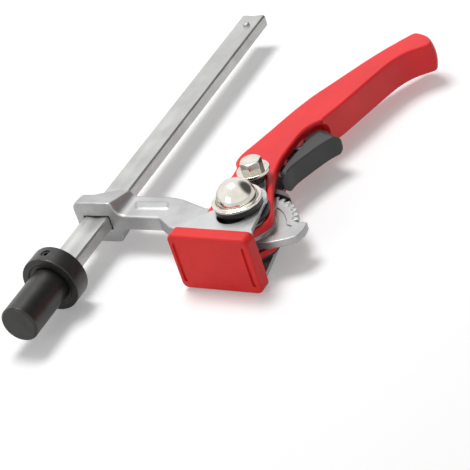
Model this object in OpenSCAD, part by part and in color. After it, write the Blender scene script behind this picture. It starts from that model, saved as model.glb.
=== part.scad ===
// Quick release bar clamp for a bench with round dog holes.
// +Y runs along the bar, away from the bench. +X points from the bar to the
// pad, and Z is square to both. The origin lies on the bar's axis, in the
// plane where the stop collar rests on the bench top. All sizes are in mm.

/* [Bar] */
// Width of the flat bar, in the plane of the clamping force
bar_w = 15; // [13:0.5:18]
// Thickness of the flat bar
bar_t = 7.5; // [6:0.5:9]
// Height of the bar's free end above the bench
bar_top = 254; // [220:1:400]
// Bevel along the bar's four long corners
bar_bevel = 0.9; // [0.3:0.1:1.5]
// Width of the shallow rolled groove in each wide face
groove_w = 8; // [3:0.5:8]
// Depth of the rolled groove
groove_d = 0.4; // [0.2:0.1:0.8]
// Diameter of the stop pin near the free end
stop_pin_d = 4; // [3:0.5:5]
// Distance from the stop pin to the free end
stop_pin_inset = 10.5; // [6:0.5:20]
// How far the stop pin stands out of the bar
stop_pin_proud = 1.3; // [0.9:0.1:2]

/* [Bench dog] */
// Diameter of the dog, which drops into a 20 mm bench hole
dog_d = 19.9; // [19:0.1:20]
// Length of the dog below the bench top
dog_len = 32; // [24:1:50]
// Bevel at the dog's lower end
dog_bevel = 1; // [0.5:0.1:3]
// How deep the bar is let into the dog, below the bench top
tang_depth = 14; // [10:0.5:20]
// Diameter of the cross pin through the dog and the bar
tang_pin_d = 4; // [3:0.5:5]
// How much thinner the dog's spigot is, inside the collar
spigot_step = 0.5; // [0.3:0.1:1]
// Outer diameter of the stop collar
collar_d = 31; // [28:0.5:40]
// Height of the stop collar
collar_h = 11; // [9:0.5:16]
// Width of the relief step round the dog, in the collar's bench face
collar_relief = 2; // [1:0.5:3]
// Thread diameter of the collar's set screw
set_screw_d = 5; // [4:0.5:6]

/* [Sliding arm] */
// Distance from the bench top to the front face of the sleeve, as shown
arm_pos = 52.5; // [45:0.5:120]
// Free play between the sleeve and the bar, on each side
sleeve_gap = 0.45; // [0.35:0.05:0.7]
// Length of the sleeve along the bar
sleeve_len = 18; // [16:0.5:26]
// Sleeve wall on the side away from the arm
sleeve_back_wall = 4.8; // [4.6:0.1:8]
// Sleeve wall on the arm's side
sleeve_arm_wall = 4.8; // [4.6:0.1:8]
// Sleeve wall over and under the bar, at the sleeve's near end
sleeve_side_wall = 8; // [6:0.5:10]
// Sleeve wall over and under the bar, at the sleeve's far end
sleeve_far_wall = 3.6; // [3.6:0.2:6]
// Rounding of the sleeve's edges on the side away from the arm
sleeve_round = 4.5; // [2:0.5:5]
// Thickness of the cast arm
arm_t = 8.4; // [7:0.2:10]
// Height of the arm where it leaves the sleeve
arm_h = 17.5; // [15:0.5:18]
// Diameter of the two hardened brake pins in the sleeve
brake_pin_d = 4; // [3:0.5:4]
// Distance from the bar's axis to the handle's pivot
pivot_x = 88.8; // [85:0.2:105]
// Drop of the handle's pivot below the sleeve's front face
pivot_drop = 3.5; // [1:0.5:6]
// Radius of the arm's hub round the pivot
hub_r = 15; // [13:0.5:16]

/* [Toothed sector] */
// Radius over the tips of the locking teeth
tooth_r = 26.4; // [25:0.1:27]
// Depth of a locking tooth
tooth_h = 2.2; // [1:0.1:3]
// Angle from one tooth to the next, in degrees
tooth_step = 9.5; // [5:0.5:10]
// Angle of the lowest tooth, in degrees from +X
tooth_first = 14; // [14:1:24]
// Angle of the highest tooth, in degrees from +X
tooth_last = 98; // [90:1:104]
// Thickness of the toothed sector
sector_t = 4; // [3:0.2:4.2]
// Depth of the cast pocket in each side of the sector
sector_pocket = 0.7; // [0.3:0.1:1]

/* [Handle] */
// Length of the handle from its pivot to its tip, along the bar
handle_len = 171; // [160:1:200]
// Thickness of each of the two handle cheeks
cheek_t = 4; // [3.4:0.2:5]
// Gap between a handle cheek and the arm
cheek_gap = 0.4; // [0.3:0.1:0.8]
// Thickness of the handle's outer wall
wall_t = 3.4; // [2.4:0.2:5]
// Thickness of the cross ribs inside the handle
rib_t = 2.4; // [1.6:0.2:4]
// Thickness of the steel plate let into each cheek
plate_t = 2.2; // [1.6:0.1:2.6]
// How far the steel plate stands out of its cheek
plate_proud = 0.2; // [0.1:0.1:0.4]
// Radius of the pressing cam, square to the foot's web
cam_r = 20.5; // [20:0.1:21.5]
// Rise of the pressing cam for each degree that the handle turns
cam_rise = 0.08; // [0.04:0.01:0.09]

/* [Pivot bolt] */
// Diameter of the pivot bolt
pivot_d = 10; // [8:0.5:11]
// Outer diameter of the steel bushing that the handle turns on
bushing_d = 14; // [13:0.5:16]
// Diameter of the cap nut's lower flange
flange_d = 25.2; // [23:0.2:27]
// Thickness of the cap nut's lower flange
flange_t = 1.3; // [1:0.1:2]
// Diameter of the cap nut's dome
dome_d = 20; // [16:0.5:21]
// Height of the dome above the flange
dome_h = 9.4; // [6:0.2:10]
// Diameter of the bolt's round rear head
rear_head_d = 20; // [19:0.5:24]
// Thickness of the bolt's rear head
rear_head_t = 2.6; // [2:0.2:3.4]

/* [Latch] */
// Distance of the latch bolt from the pivot, towards the bar
latch_x = 6; // [4:0.5:8]
// Distance of the latch bolt above the pivot
latch_y = 30.2; // [29:0.2:32]
// Thread diameter of the latch bolt
latch_d = 6; // [5:0.5:6]
// Width of the latch bolt's hexagon head across its flats
hex_w = 10; // [9:0.5:13]
// Height of the latch bolt's hexagon head
hex_h = 5.4; // [3:0.2:6]
// Diameter of the washer under the hexagon head
washer_d = 17; // [14:0.5:18]
// Diameter of the washer under the rear nut
rear_washer_d = 13; // [11.5:0.5:15]
// Thickness of a washer
washer_t = 1.6; // [1:0.1:2]
// Diameter of the black spacer under the washer
spacer_d = 9.5; // [9:0.5:15]
// Height of the black spacer
spacer_h = 5.4; // [3:0.2:6]
// Outer diameter of the sleeve that the lever turns on
latch_sleeve_d = 8; // [7.4:0.1:8]
// Thickness of each of the pawl lever's two ears
lever_t = 1.8; // [1.4:0.1:1.8]
// Height of the pawl's nose across the teeth
nose_t = 7; // [6:0.5:8]
// Clearance between the pawl's nose and the tooth tips
nose_gap = 0.4; // [0.3:0.05:0.8]
// Width of the trigger's face, in front of the handle's cheeks
trigger_t = 11.6; // [10:0.2:12]
// Wire diameter of the pawl's spring
spring_wire = 0.7; // [0.5:0.05:0.8]
// Turns in the pawl's spring
spring_turns = 2.75; // [1.75:0.5:2.75]

/* [Foot] */
// Tilt of the foot as shown, in degrees
foot_tilt = -3.6; // [-5:0.1:5]
// Width of the pad, from the bar's side to the far side
pad_w = 46; // [44:0.5:56]
// Height of the pad across the clamp
pad_h = 32; // [31:0.5:40]
// Shift of the pad's middle towards the bar
pad_shift = 3.5; // [2:0.5:5]
// Thickness of plastic in front of the steel web
pad_face_t = 5.1; // [3:0.1:8]
// Height of the pad's rim behind the web's inner face
pad_rim = 0.8; // [0.4:0.1:1.5]
// Rounding of the pad's corners
pad_round = 3.5; // [1.5:0.5:5]
// Width of the two grooves in the pad's face
pad_groove_w = 2; // [1:0.5:3]
// Depth of the two grooves
pad_groove_d = 1; // [0.5:0.1:2]
// Length of the two grooves
pad_groove_len = 23; // [16:0.5:26]
// Thickness of the folded steel bracket
bracket_t = 2.4; // [1.6:0.1:2.6]
// Distance between the bracket's two side plates
bracket_gap = 23.6; // [23.2:0.2:25]
// Half the width of the slot in each side plate
slot_r = 8.6; // [8:0.1:9]
// Reach of the slot below the pivot, to the middle of its round end
slot_down = 6; // [4.5:0.5:8]
// Reach of the slot above the pivot, to the middle of its round end
slot_up = 5.5; // [5:0.5:7]
// Width of steel round the slot
eye_wall = 2.6; // [2:0.2:3]
// Free play between the guide block and its slot, on each side
block_gap = 0.3; // [0.25:0.05:0.5]
// Play between the cam and the bracket's web
cam_gap = 0.4; // [0.3:0.05:0.8]
// Diameter of the flange on each guide block, under the bracket's side plate
block_flange_d = 28; // [22:0.5:28]
// Diameter of the collar on the upper guide block
block_collar_d = 24; // [20:0.2:24]
// Height of the collar on the upper guide block
block_collar_t = 3.4; // [2:0.2:4]

/* [Hidden] */
$fn = 64;
// Radial clearance of a pin or a shaft that turns in its hole
run = 0.05;
// Clearance of pieces that are fixed to each other
snug = 0.1;
// Overlap that a cutting shape needs to pass right through
cut = 1;

dog_r = dog_d / 2;
spigot_r = dog_r - spigot_step;
bore_w = bar_w / 2 + sleeve_gap;
bore_t = bar_t / 2 + sleeve_gap;
sleeve_top = bore_t + sleeve_side_wall;
sleeve_x0 = -bore_w - sleeve_back_wall;
sleeve_x1 = bore_w + sleeve_arm_wall;
sleeve_flare = sleeve_x1 + 4.2;
brake_r = brake_pin_d / 2;
// A brake pin stands 0.15 mm into the sleeve's bore
brake_x = bore_w + brake_r - 0.15;
brake_end = brake_r + 4.2;
pivot_y = arm_pos - pivot_drop;
arm_z = arm_t / 2;
cheek_z0 = arm_z + cheek_gap;
cheek_z1 = cheek_z0 + cheek_t;
plate_z1 = cheek_z1 + plate_proud;
plate_z0 = plate_z1 - plate_t;
side_z0 = bracket_gap / 2;
side_z1 = side_z0 + bracket_t;
bushing_z = plate_z1 + snug;
block_z0 = bushing_z + snug;
block_z1 = side_z1 + 0.3;
collar_z1 = block_z1 + block_collar_t;
spacer_z1 = cheek_z1 + spacer_h;
washer_z1 = spacer_z1 + washer_t;
rear_nut_z = cheek_z1 + plate_proud + washer_t;
rear_nut_h = 5;
// The cam touches the web a little past the point nearest to the web
cam_lead = atan(cam_rise * 180 / PI / cam_r);
cam_depth = (cam_r + cam_rise * cam_lead) * cos(cam_lead);
web_v = -(cam_depth + cam_gap);
face_v = web_v - bracket_t - pad_face_t;
rim_v = web_v + pad_rim;
pad_u0 = -pad_w / 2 - pad_shift;
pad_u1 = pad_w / 2 - pad_shift;
pad_wall = pad_h / 2 - side_z1;
web_u0 = pad_u0 + pad_wall;
web_u1 = pad_u1 - pad_wall;
tip_scale = (handle_len - 60) / 111;

// ---- helpers ----

// Points on a smooth curve through hand-placed points, n steps for each span
function curve(p, n = 4) = [
    for (i = [0 : len(p) - 2])
        let (a = p[max(i - 1, 0)], b = p[i], c = p[i + 1], d = p[min(i + 2, len(p) - 1)])
            for (k = [0 : n - 1])
                let (t = k / n)
                    0.5 * (2 * b + (c - a) * t + (2 * a - 5 * b + 4 * c - d) * t * t
                        + (3 * b - a - 3 * c + d) * t * t * t),
    p[len(p) - 1]
];

// Unit normal on the left of a path at its point i
function left_of(p, i) =
    let (d = p[min(i + 1, len(p) - 1)] - p[max(i - 1, 0)]) [-d[1], d[0]] / norm(d);

// A strip of width w along the left side of a path
function strip(p, w) = concat(p, [
    for (i = [len(p) - 1 : -1 : 0]) p[i] + w * left_of(p, i)
]);

module slab(z0, z1) {
    translate([0, 0, z0])
        linear_extrude(z1 - z0)
            children();
}

module both_sides() {
    children();
    mirror([0, 0, 1])
        children();
}

// A rectangle round the origin, with its corners rounded by 15 degree steps
module rounded(width, height, r) {
    w = width / 2;
    h = height / 2;
    polygon(concat([for (a = [0 : 15 : 90]) [w - r, h - r] + r * [cos(a), sin(a)]],
                   [for (a = [90 : 15 : 180]) [r - w, h - r] + r * [cos(a), sin(a)]],
                   [for (a = [180 : 15 : 270]) [r - w, r - h] + r * [cos(a), sin(a)]],
                   [for (a = [270 : 15 : 360]) [w - r, r - h] + r * [cos(a), sin(a)]]));
}

module along_y(y0, y1) {
    translate([0, y0, 0])
        rotate([-90, 0, 0])
            linear_extrude(y1 - y0)
                children();
}

module at_pivot() {
    translate([pivot_x, pivot_y, 0])
        children();
}

module at_latch() {
    at_pivot()
        translate([-latch_x, latch_y, 0])
            children();
}

module at_foot() {
    at_pivot()
        rotate(foot_tilt)
            children();
}

module drum(r, z0, z1) {
    translate([0, 0, z0])
        cylinder(r = r, h = z1 - z0);
}

// ---- bar and bench dog ----

module bar_section() {
    w = bar_w / 2;
    t = bar_t / 2;
    c = bar_bevel;
    difference() {
        polygon([[w - c, -t], [w, c - t], [w, t - c], [w - c, t],
                 [c - w, t], [-w, t - c], [-w, c - t], [c - w, -t]]);
        for (s = [-1, 1])
            translate([0, s * t])
                square([groove_w, 2 * groove_d], center = true);
    }
}

module bar() {
    color("silver")
        difference() {
            along_y(-tang_depth, bar_top)
                bar_section();
            translate([0, -tang_depth / 2, 0])
                drum(tang_pin_d / 2, -bar_t, bar_t);
            translate([0, bar_top - stop_pin_inset, 0])
                drum(stop_pin_d / 2, -bar_t, bar_t);
        }
}

module dog_post() {
    color([0.22, 0.21, 0.2])
        difference() {
            rotate([-90, 0, 0])
                translate([0, 0, -dog_len])
                    rotate_extrude()
                        polygon([[0, 0], [dog_r - dog_bevel, 0], [dog_r, dog_bevel],
                                 [dog_r, dog_len], [spigot_r, dog_len],
                                 [spigot_r, dog_len + collar_h - 1], [0, dog_len + collar_h - 1]]);
            translate([-bar_w / 2 - snug, -tang_depth - snug, -bar_t / 2 - snug])
                cube([bar_w + 2 * snug, tang_depth + collar_h + cut, bar_t + 2 * snug]);
            translate([0, -tang_depth / 2, 0])
                drum(tang_pin_d / 2, -dog_d, dog_d);
        }
}

module tang_pin() {
    color("gray")
        translate([0, -tang_depth / 2, 0])
            drum(tang_pin_d / 2, -dog_r + 0.4, dog_r - 0.4);
}

module stop_collar() {
    r = collar_d / 2;
    color([0.25, 0.24, 0.23])
        difference() {
            rotate([-90, 0, 0])
                rotate_extrude()
                    polygon([[spigot_r + run, 0.8], [dog_r + collar_relief, 0.8],
                             [dog_r + collar_relief, 0], [r - 0.6, 0], [r, 0.6], [r, collar_h - 0.6],
                             [r - 0.6, collar_h], [spigot_r + run, collar_h]]);
            translate([0, collar_h / 2, 0])
                drum(set_screw_d / 2, spigot_r - cut, collar_d);
        }
}

module set_screw() {
    z1 = collar_d / 2 - 0.6;
    color([0.15, 0.15, 0.15])
        translate([0, collar_h / 2, 0])
            difference() {
                drum(set_screw_d / 2 - run, spigot_r + run, z1);
                translate([0, 0, z1 - 2.2])
                    cylinder(d = set_screw_d * 0.58, h = 3, $fn = 6);
            }
}

module end_stop_pin() {
    half = bar_t / 2 + stop_pin_proud;
    color("dimgray")
        translate([0, bar_top - stop_pin_inset, 0])
            drum(stop_pin_d / 2, -half, half);
}

// ---- sliding arm ----

// The upper half of the sleeve's section: round on the left, and on the right
// an S that flows down to the arm
sleeve_half = concat(
    [for (a = [180 : -15 : 90])
        [sleeve_x0 + sleeve_round, sleeve_top - sleeve_round] + sleeve_round * [cos(a), sin(a)]],
    [[sleeve_x1 - 3.6, sleeve_top], [sleeve_x1 - 2.1, sleeve_top - 0.6],
     [sleeve_x1 - 1.2, sleeve_top - 2], [sleeve_x1 - 0.7, sleeve_top - 3.8],
     [sleeve_x1 - 0.2, arm_z + 2.7], [sleeve_x1 + 0.9, arm_z + 1.2], [sleeve_x1 + 2.4, arm_z + 0.4],
     [sleeve_flare, arm_z - 0.1]]
);

// The sleeve gets lower towards its far end, which is cut back on the side
// away from the arm
module sleeve_block() {
    far = bore_t + sleeve_far_wall;
    intersection() {
        translate([sleeve_x0 - cut, arm_pos, 0])
            rotate([90, 0, 90])
                linear_extrude(sleeve_flare - sleeve_x0 + 2 * cut)
                    polygon([[0, -sleeve_top], [sleeve_len, -far], [sleeve_len, far], [0, sleeve_top]]);
        translate([0, arm_pos, 0])
            slab(-sleeve_top - cut, sleeve_top + cut)
                polygon([[sleeve_x0 - cut, -cut], [sleeve_flare + cut, -cut],
                         [sleeve_flare + cut, sleeve_len + cut], [9.4, sleeve_len + cut],
                         [-0.3, sleeve_len - 3], [-5.1, sleeve_len - 6.6],
                         [sleeve_x0 - cut, sleeve_len - 7.3]]);
        along_y(arm_pos - cut, arm_pos + sleeve_len + cut)
            polygon(concat(sleeve_half, [
                for (i = [len(sleeve_half) - 1 : -1 : 0]) [sleeve_half[i][0], -sleeve_half[i][1]]
            ]));
    }
}

// The arm runs level out of the sleeve, then cranks down to the hub
module arm_outline() {
    y0 = arm_pos + 0.4;
    y1 = y0 + arm_h;
    x0 = sleeve_x1 - 4;
    polygon([[x0, y0], [pivot_x - 51, y0 - 1], [pivot_x - 41.5, pivot_y - 4.4],
             [pivot_x - 26, pivot_y - 10.5], [pivot_x - 5, pivot_y - hub_r * 0.94],
             [pivot_x + 5, pivot_y + hub_r * 0.9], [pivot_x - 12, pivot_y + 14],
             [pivot_x - 28, pivot_y + 12.2], [pivot_x - 44, pivot_y + 19.2],
             [pivot_x - 49, y1 - 0.8], [pivot_x - 54, y1], [x0, y1 + 0.4]]);
    translate([pivot_x, pivot_y])
        circle(r = hub_r);
}

// Each tooth starts at its root, and its flat tip leans to hold the handle closed
function tooth_edge() = [
    for (a = [tooth_first : tooth_step : tooth_last], k = [[0, tooth_h], [0.24, 0], [0.62, 0]])
        let (turn = a + k[0] * tooth_step) (tooth_r - k[1]) * [cos(turn), sin(turn)]
];

// The sector's lower end carries a horn that stops the pawl
module sector_outline() {
    root = tooth_r - tooth_h;
    last = tooth_first + tooth_step * (1 + floor((tooth_last - tooth_first) / tooth_step));
    polygon(concat([[5, -12.4], [17, -12.2], [tooth_r - 1.2, -9.2], [tooth_r + 3.2, -6.6],
                    [tooth_r + 5.4, -1], [tooth_r + 4.8, 4.8], [tooth_r + 2.4, 5.6],
                    [tooth_r + 0.2, 4.7]],
                   tooth_edge(),
                   [root * [cos(last), sin(last)], [-6, 16], [-12, 0]]));
}

// A shallow field inside the sector's raised rim
module sector_field() {
    polygon([[0, 0], [9.3, 16.7], [11.7, 15.5], [15.6, 11.9], [19.1, 7], [21.1, 2.9],
             [tooth_r - 2.4, 2.2], [tooth_r - 1.9, -1], [tooth_r - 3.2, -3.1], [18.4, -5.7],
             [12.7, -8.8]]);
}

module slide_arm() {
    color([0.8, 0.8, 0.8])
        difference() {
            union() {
                sleeve_block();
                slab(-arm_z, arm_z)
                    arm_outline();
                at_pivot() {
                    slab(sector_pocket - sector_t / 2, sector_t / 2 - sector_pocket)
                        sector_outline();
                    slab(-sector_t / 2, sector_t / 2)
                        difference() {
                            sector_outline();
                            sector_field();
                        }
                }
            }
            translate([-bore_w, arm_pos - cut, -bore_t])
                cube([2 * bore_w, sleeve_len + 2 * cut, 2 * bore_t]);
            for (s = [-1, 1])
                translate([s * brake_x, arm_pos + (s < 0 ? brake_end : sleeve_len - brake_end), 0])
                    drum(brake_r + run, -sleeve_top - cut, bore_t + 3);
            at_pivot()
                drum(bushing_d / 2, -arm_t, arm_t);
        }
}

module brake_pins() {
    color("dimgray")
        for (s = [-1, 1])
            translate([s * brake_x, arm_pos + (s < 0 ? brake_end : sleeve_len - brake_end), 0])
                drum(brake_r, -bore_t - 2.5, bore_t + 3);
}

module pivot_bushing() {
    color("gray")
        at_pivot()
            difference() {
                drum(bushing_d / 2, -bushing_z, bushing_z);
                drum(pivot_d / 2 + run, -bushing_z - cut, bushing_z + cut);
            }
}

module pivot_bolt() {
    color([0.12, 0.12, 0.12])
        at_pivot() {
            drum(pivot_d / 2, -block_z1, collar_z1 + 5);
            translate([0, 0, -block_z1 - rear_head_t])
                rotate_extrude()
                    polygon([[0, 0], [rear_head_d / 2 - 1.2, 0], [rear_head_d / 2, 0.9],
                             [rear_head_d / 2, rear_head_t], [0, rear_head_t]]);
        }
}

module cap_nut() {
    z0 = collar_z1 + snug;
    r = dome_d / 2;
    ring_h = 0.8;
    base = flange_t + ring_h;
    // The dome is a spherical cap of this radius
    ball = (r * r + dome_h * dome_h) / (2 * dome_h);
    rise = asin((ball - dome_h) / ball);
    color([0.85, 0.83, 0.78])
        at_pivot()
            translate([0, 0, z0])
                difference() {
                    rotate_extrude()
                        polygon(concat([[0, 0], [flange_d / 2 - 0.3, 0], [flange_d / 2, 0.3],
                                        [flange_d / 2, flange_t - 0.3], [flange_d / 2 - 0.3, flange_t],
                                        [r + 1, flange_t], [r + 0.8, base]],
                                       [for (k = [0 : 16])
                                            let (a = -rise + (90 + rise) * k / 16)
                                                [ball * cos(a), base + dome_h - ball + ball * sin(a)]]));
                    drum(pivot_d / 2 + run, -cut, 5.2);
                }
}

// ---- handle ----

// Moves the grip's points out when the handle is longer
function grip_pt(p) = p[1] <= 60 ? p : [60, 60] + [p[0] - 60, (p[1] - 60) * tip_scale];

cam_edge = [
    for (a = [-48 : -6 : -150]) (cam_r - cam_rise * (a + 90 - foot_tilt)) * [cos(a), sin(a)]
];
bar_side_edge = curve([
    for (p = [[-22.2, 31], [-22.8, 41], [-25.6, 46.5], [-25.6, 53], [-23.2, 61], [-18.6, 75.8],
              [-13.8, 92.3], [-8.5, 107], [-2.1, 120], [4.4, 133], [11.1, 146], [18.3, 158],
              [25.9, 169]]) grip_pt(p)]);
tip_edge = curve([for (p = [[25.9, 169], [28.9, 170.8], [35.4, 167.8], [39.9, 163], [41.2, 158.8],
                            [38.2, 156]]) grip_pt(p)]);
outer_edge = curve([
    for (p = [[38.2, 156], [31.2, 150.6], [26, 142.6], [22.6, 133.4], [17.4, 116.4], [12.4, 99.6],
              [9.4, 91.6], [7.6, 85.6]]) grip_pt(p)]);
neck_edge = curve([
    for (p = [[7.6, 85.6], [5.4, 83.8], [2.7, 80], [0.4, 73], [-0.5, 61], [-0.6, 48.3], [1.5, 36],
              [4.4, 27.3], [8, 19], [11.7, 10.8], [15.2, 3.5], [16.4, -2.5], [14.4, -8]]) grip_pt(p)]);

// All points of a path but the last
function but_last(p) = [for (i = [0 : len(p) - 2]) p[i]];

module handle_outline() {
    polygon(concat(cam_edge, but_last(bar_side_edge), but_last(tip_edge), but_last(outer_edge),
                   neck_edge));
}

module plate_outline() {
    polygon([[-13.5, 0], [-12.6, 32], [-11.4, 34.6], [-3, 34.4], [0.9, 26.4], [4.6, 18.2],
             [8.2, 10.4], [11.8, 3], [13.6, -2], [12.6, -7], [8.4, -11.5], [0, -13.4], [-9, -10]]);
}

// The cheek plate before its bores, with a round boss at the latch bolt
module plate_blank() {
    slab(plate_z0, plate_z1)
        plate_outline();
    translate([-latch_x, latch_y, 0])
        drum(5.6, plate_z0, plate_z1);
}

// A rib across the handle between two of the grip's points
module rib(a, b) {
    p = grip_pt(a);
    q = grip_pt(b);
    slab(-cheek_z0 - snug, cheek_z0 + snug)
        polygon(strip([p, q], rib_t));
}

module handle_shell() {
    color([0.86, 0.16, 0.16])
        at_pivot()
            difference() {
                union() {
                    both_sides()
                        slab(cheek_z0, cheek_z1)
                            handle_outline();
                    slab(-cheek_z0 - snug, cheek_z0 + snug) {
                        polygon(strip([for (i = [len(outer_edge) - 1 : -1 : 0]) outer_edge[i]], wall_t));
                        polygon(concat(tip_edge, [
                            for (p = [[34.6, 159.2], [36.4, 161.4], [33, 165.2], [28.2, 167]]) grip_pt(p)
                        ]));
                    }
                    rib([6.6, 92.2], [-11, 93.4]);
                    rib([15.2, 116], [-1, 118]);
                    rib([24.4, 142.4], [11, 144]);
                    translate(spring_post)
                        drum(spring_post_r, -cheek_z0 - snug, cheek_z0 + snug);
                }
                drum(bushing_d / 2 + run, -30, 30);
                translate([-latch_x, latch_y, 0])
                    drum(latch_d / 2 + run, -30, 30);
                both_sides()
                    plate_blank();
            }
}

module cheek_plate() {
    color([0.72, 0.73, 0.73])
        at_pivot()
            difference() {
                plate_blank();
                drum(bushing_d / 2 + run, 0, 30);
                translate([-latch_x, latch_y, 0])
                    drum(latch_d / 2 + run, 0, 30);
            }
}

module cheek_plate_top() {
    cheek_plate();
}

module cheek_plate_bottom() {
    mirror([0, 0, 1])
        cheek_plate();
}

// ---- latch: bolt, pawl and trigger ----

module latch_bolt() {
    color([0.82, 0.8, 0.76])
        at_latch() {
            drum(latch_d / 2, -rear_nut_z - rear_nut_h - 0.6, washer_z1);
            intersection() {
                translate([0, 0, washer_z1])
                    rotate(42)
                        cylinder(d = hex_w / cos(30), h = hex_h, $fn = 6);
                translate([0, 0, washer_z1])
                    rotate_extrude()
                        polygon([[0, 0], [hex_w / 2 + 1.5, 0], [hex_w / 2 + 1.5, hex_h - 1],
                                 [hex_w / 2, hex_h], [0, hex_h]]);
            }
        }
}

module washer(r, z0, z1) {
    difference() {
        drum(r, z0, z1);
        drum(latch_d / 2 + run, z0 - cut, z1 + cut);
    }
}

module latch_washer() {
    color([0.85, 0.83, 0.8])
        at_latch()
            washer(washer_d / 2, spacer_z1, washer_z1);
}

module rear_washer() {
    color([0.85, 0.83, 0.8])
        at_latch()
            washer(rear_washer_d / 2, -rear_nut_z, washer_t - rear_nut_z);
}

module latch_spacer() {
    color([0.08, 0.08, 0.08])
        at_latch()
            difference() {
                drum(spacer_d / 2, plate_z1, spacer_z1);
                drum(latch_d / 2 + run, 0, 30);
            }
}

module latch_nut() {
    color([0.8, 0.78, 0.74])
        at_latch()
            translate([0, 0, -rear_nut_z - rear_nut_h])
                difference() {
                    rotate(42)
                        cylinder(d = hex_w / cos(30), h = rear_nut_h, $fn = 6);
                    drum(latch_d / 2 + run, -cut, rear_nut_h + cut);
                }
}

module latch_sleeve() {
    color("gray")
        at_latch()
            difference() {
                drum(latch_sleeve_d / 2, -cheek_z0, cheek_z0);
                drum(latch_d / 2 + run, -30, 30);
            }
}

// The lever's ears straddle the toothed sector
ear_z1 = cheek_z0 - 0.4;
ear_z0 = ear_z1 - lever_t;
rivet_r = 1.6;
spring_spot = [-2.2, 50.5];
rivet_spots = [spring_spot, [1, 66]];

module lever_outline() {
    polygon([[-12.6, 32], [-10, 44], [-7, 56], [-3.6, 68], [-1, 70.6], [1.5, 71], [3.4, 69], [2.2, 61],
             [0.9, 52], [1.2, 44], [1.6, 36.6], [3.2, 31.2], [8.6, 28.8], [12.2, 26],
             [15.4, 22.6], [16.2, 20.2], [15.2, 19], [12, 20.8], [8, 23.2], [-2, 24.6]]);
}

module nose_outline() {
    polygon([[2.5, 30.6], [9, 28.2], [12, 26], [14.8, 22.8], [13, 17.5], [3.5, 21.5], [3, 27]]);
}

module pawl_lever() {
    color([0.25, 0.26, 0.26])
        at_pivot()
            difference() {
                union() {
                    both_sides() {
                        slab(ear_z0, ear_z1)
                            lever_outline();
                        translate([-latch_x, latch_y, 0])
                            drum(7.2, ear_z0, ear_z1);
                    }
                    difference() {
                        slab(-nose_t / 2, nose_t / 2)
                            nose_outline();
                        drum(tooth_r + nose_gap, -10, 10);
                    }
                }
                translate([-latch_x, latch_y, 0])
                    drum(latch_sleeve_d / 2 + run, -10, 10);
                for (p = rivet_spots)
                    translate(p)
                        drum(rivet_r, -10, 10);
            }
}

grip_face = curve([[3.4, 37.6], [5, 41], [6, 47.5], [8.5, 54], [11.1, 60.2], [14, 66.6],
                   [17, 71.6], [20, 75.2], [19.8, 77.2], [16.4, 79.2], [10.5, 81.4]]);
grip_back = [[3.9, 68.4], [2.7, 60], [1.6, 50], [1.7, 44], [2.4, 38.4]];

// The face stands clear of the cheeks' edges
module face_outline() {
    polygon(concat(grip_face, [[9.6, 80.6], [7.8, 78.4], [6, 75], [4.6, 71]], grip_back));
}

// The web behind the face moves in between the cheeks
module web_outline() {
    polygon(concat(grip_face, [[10, 82], [5.6, 83], [2.8, 80.8], [1, 76.4], [1, 72.4], [4.1, 71]],
                   grip_back));
}

// The core fills the room between the lever's ears, round the spring
module core_outline() {
    polygon([[3.4, 38.6], [2.5, 44], [2.5, 52], [0.2, 56], [-3.2, 58.2], [-3.3, 66], [-1, 70],
             [5, 75], [11, 76], [12, 70], [6, 57], [4, 46]]);
}

module trigger_grip() {
    color([0.23, 0.24, 0.24])
        at_pivot()
            difference() {
                union() {
                    slab(-trigger_t / 2, trigger_t / 2)
                        face_outline();
                    slab(-ear_z1, ear_z1)
                        web_outline();
                    slab(snug - ear_z0, ear_z0 - snug)
                        core_outline();
                }
                translate(rivet_spots[1])
                    drum(rivet_r, -10, 10);
            }
}

module trigger_rivets() {
    color("silver")
        at_pivot()
            for (p = rivet_spots)
                translate(p)
                    drum(rivet_r, -ear_z1, ear_z1);
}

// A torsion spring round the lower rivet. One leg bears on the trigger's
// core, and the long one reaches over the post between the cheeks.
spring_r = rivet_r + 0.7 + spring_wire / 2;
spring_low = 0.2 + spring_wire / 2 - ear_z0;
spring_rise = -2 * spring_low;
spring_a1 = 83;
spring_a0 = spring_a1 - 360 * spring_turns;
spring_post = [-18.5, 50];
spring_post_r = 3;

// Each entry is the angle on the coil, the distance along a leg and the height
spring_path = concat(
    [[spring_a0, -8, spring_low], [spring_a0, -4, spring_low]],
    [for (k = [0 : 40]) [spring_a0 + 9 * spring_turns * k, 0, spring_low + spring_rise * k / 40]],
    [[spring_a1, 9, -spring_low], [spring_a1, 18.5, -spring_low]]
);

module pawl_spring() {
    m = 8;
    n = len(spring_path);
    w = spring_wire / 2;
    pts = [
        for (e = spring_path, k = [0 : m - 1])
            let (a = e[0], b = 360 * k / m, r = spring_r + w * cos(b))
                [r * cos(a) - e[1] * sin(a), r * sin(a) + e[1] * cos(a), e[2] + w * sin(b)]
    ];
    sides = [
        for (i = [0 : n - 2], k = [0 : m - 1])
            let (a = i * m + k, b = i * m + (k + 1) % m, c = a + m, d = b + m)
                for (f = [[a, b, d], [a, d, c]]) f
    ];
    ends = [
        for (k = [1 : m - 2]) [0, k + 1, k],
        for (k = [1 : m - 2]) [(n - 1) * m, (n - 1) * m + k, (n - 1) * m + k + 1]
    ];
    echo(spring_gap = spring_rise / spring_turns - spring_wire);
    color("silver")
        at_pivot()
            translate(spring_spot)
                polyhedron(points = pts, faces = concat(sides, ends));
}

// ---- foot ----

// The guide blocks swivel on the pivot bolt and run in the bracket's slots.
// A flange under each side plate closes the slot behind the block.
module guide_block(z0, z1) {
    difference() {
        union() {
            intersection() {
                drum(slot_r + 1, z0, z1);
                slab(z0, z1)
                    square([2 * (slot_r - block_gap), 40], center = true);
            }
            drum(block_flange_d / 2, z0, side_z0 - 0.4);
        }
        drum(pivot_d / 2 + run, z0 - cut, z1 + cut);
    }
}

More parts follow.
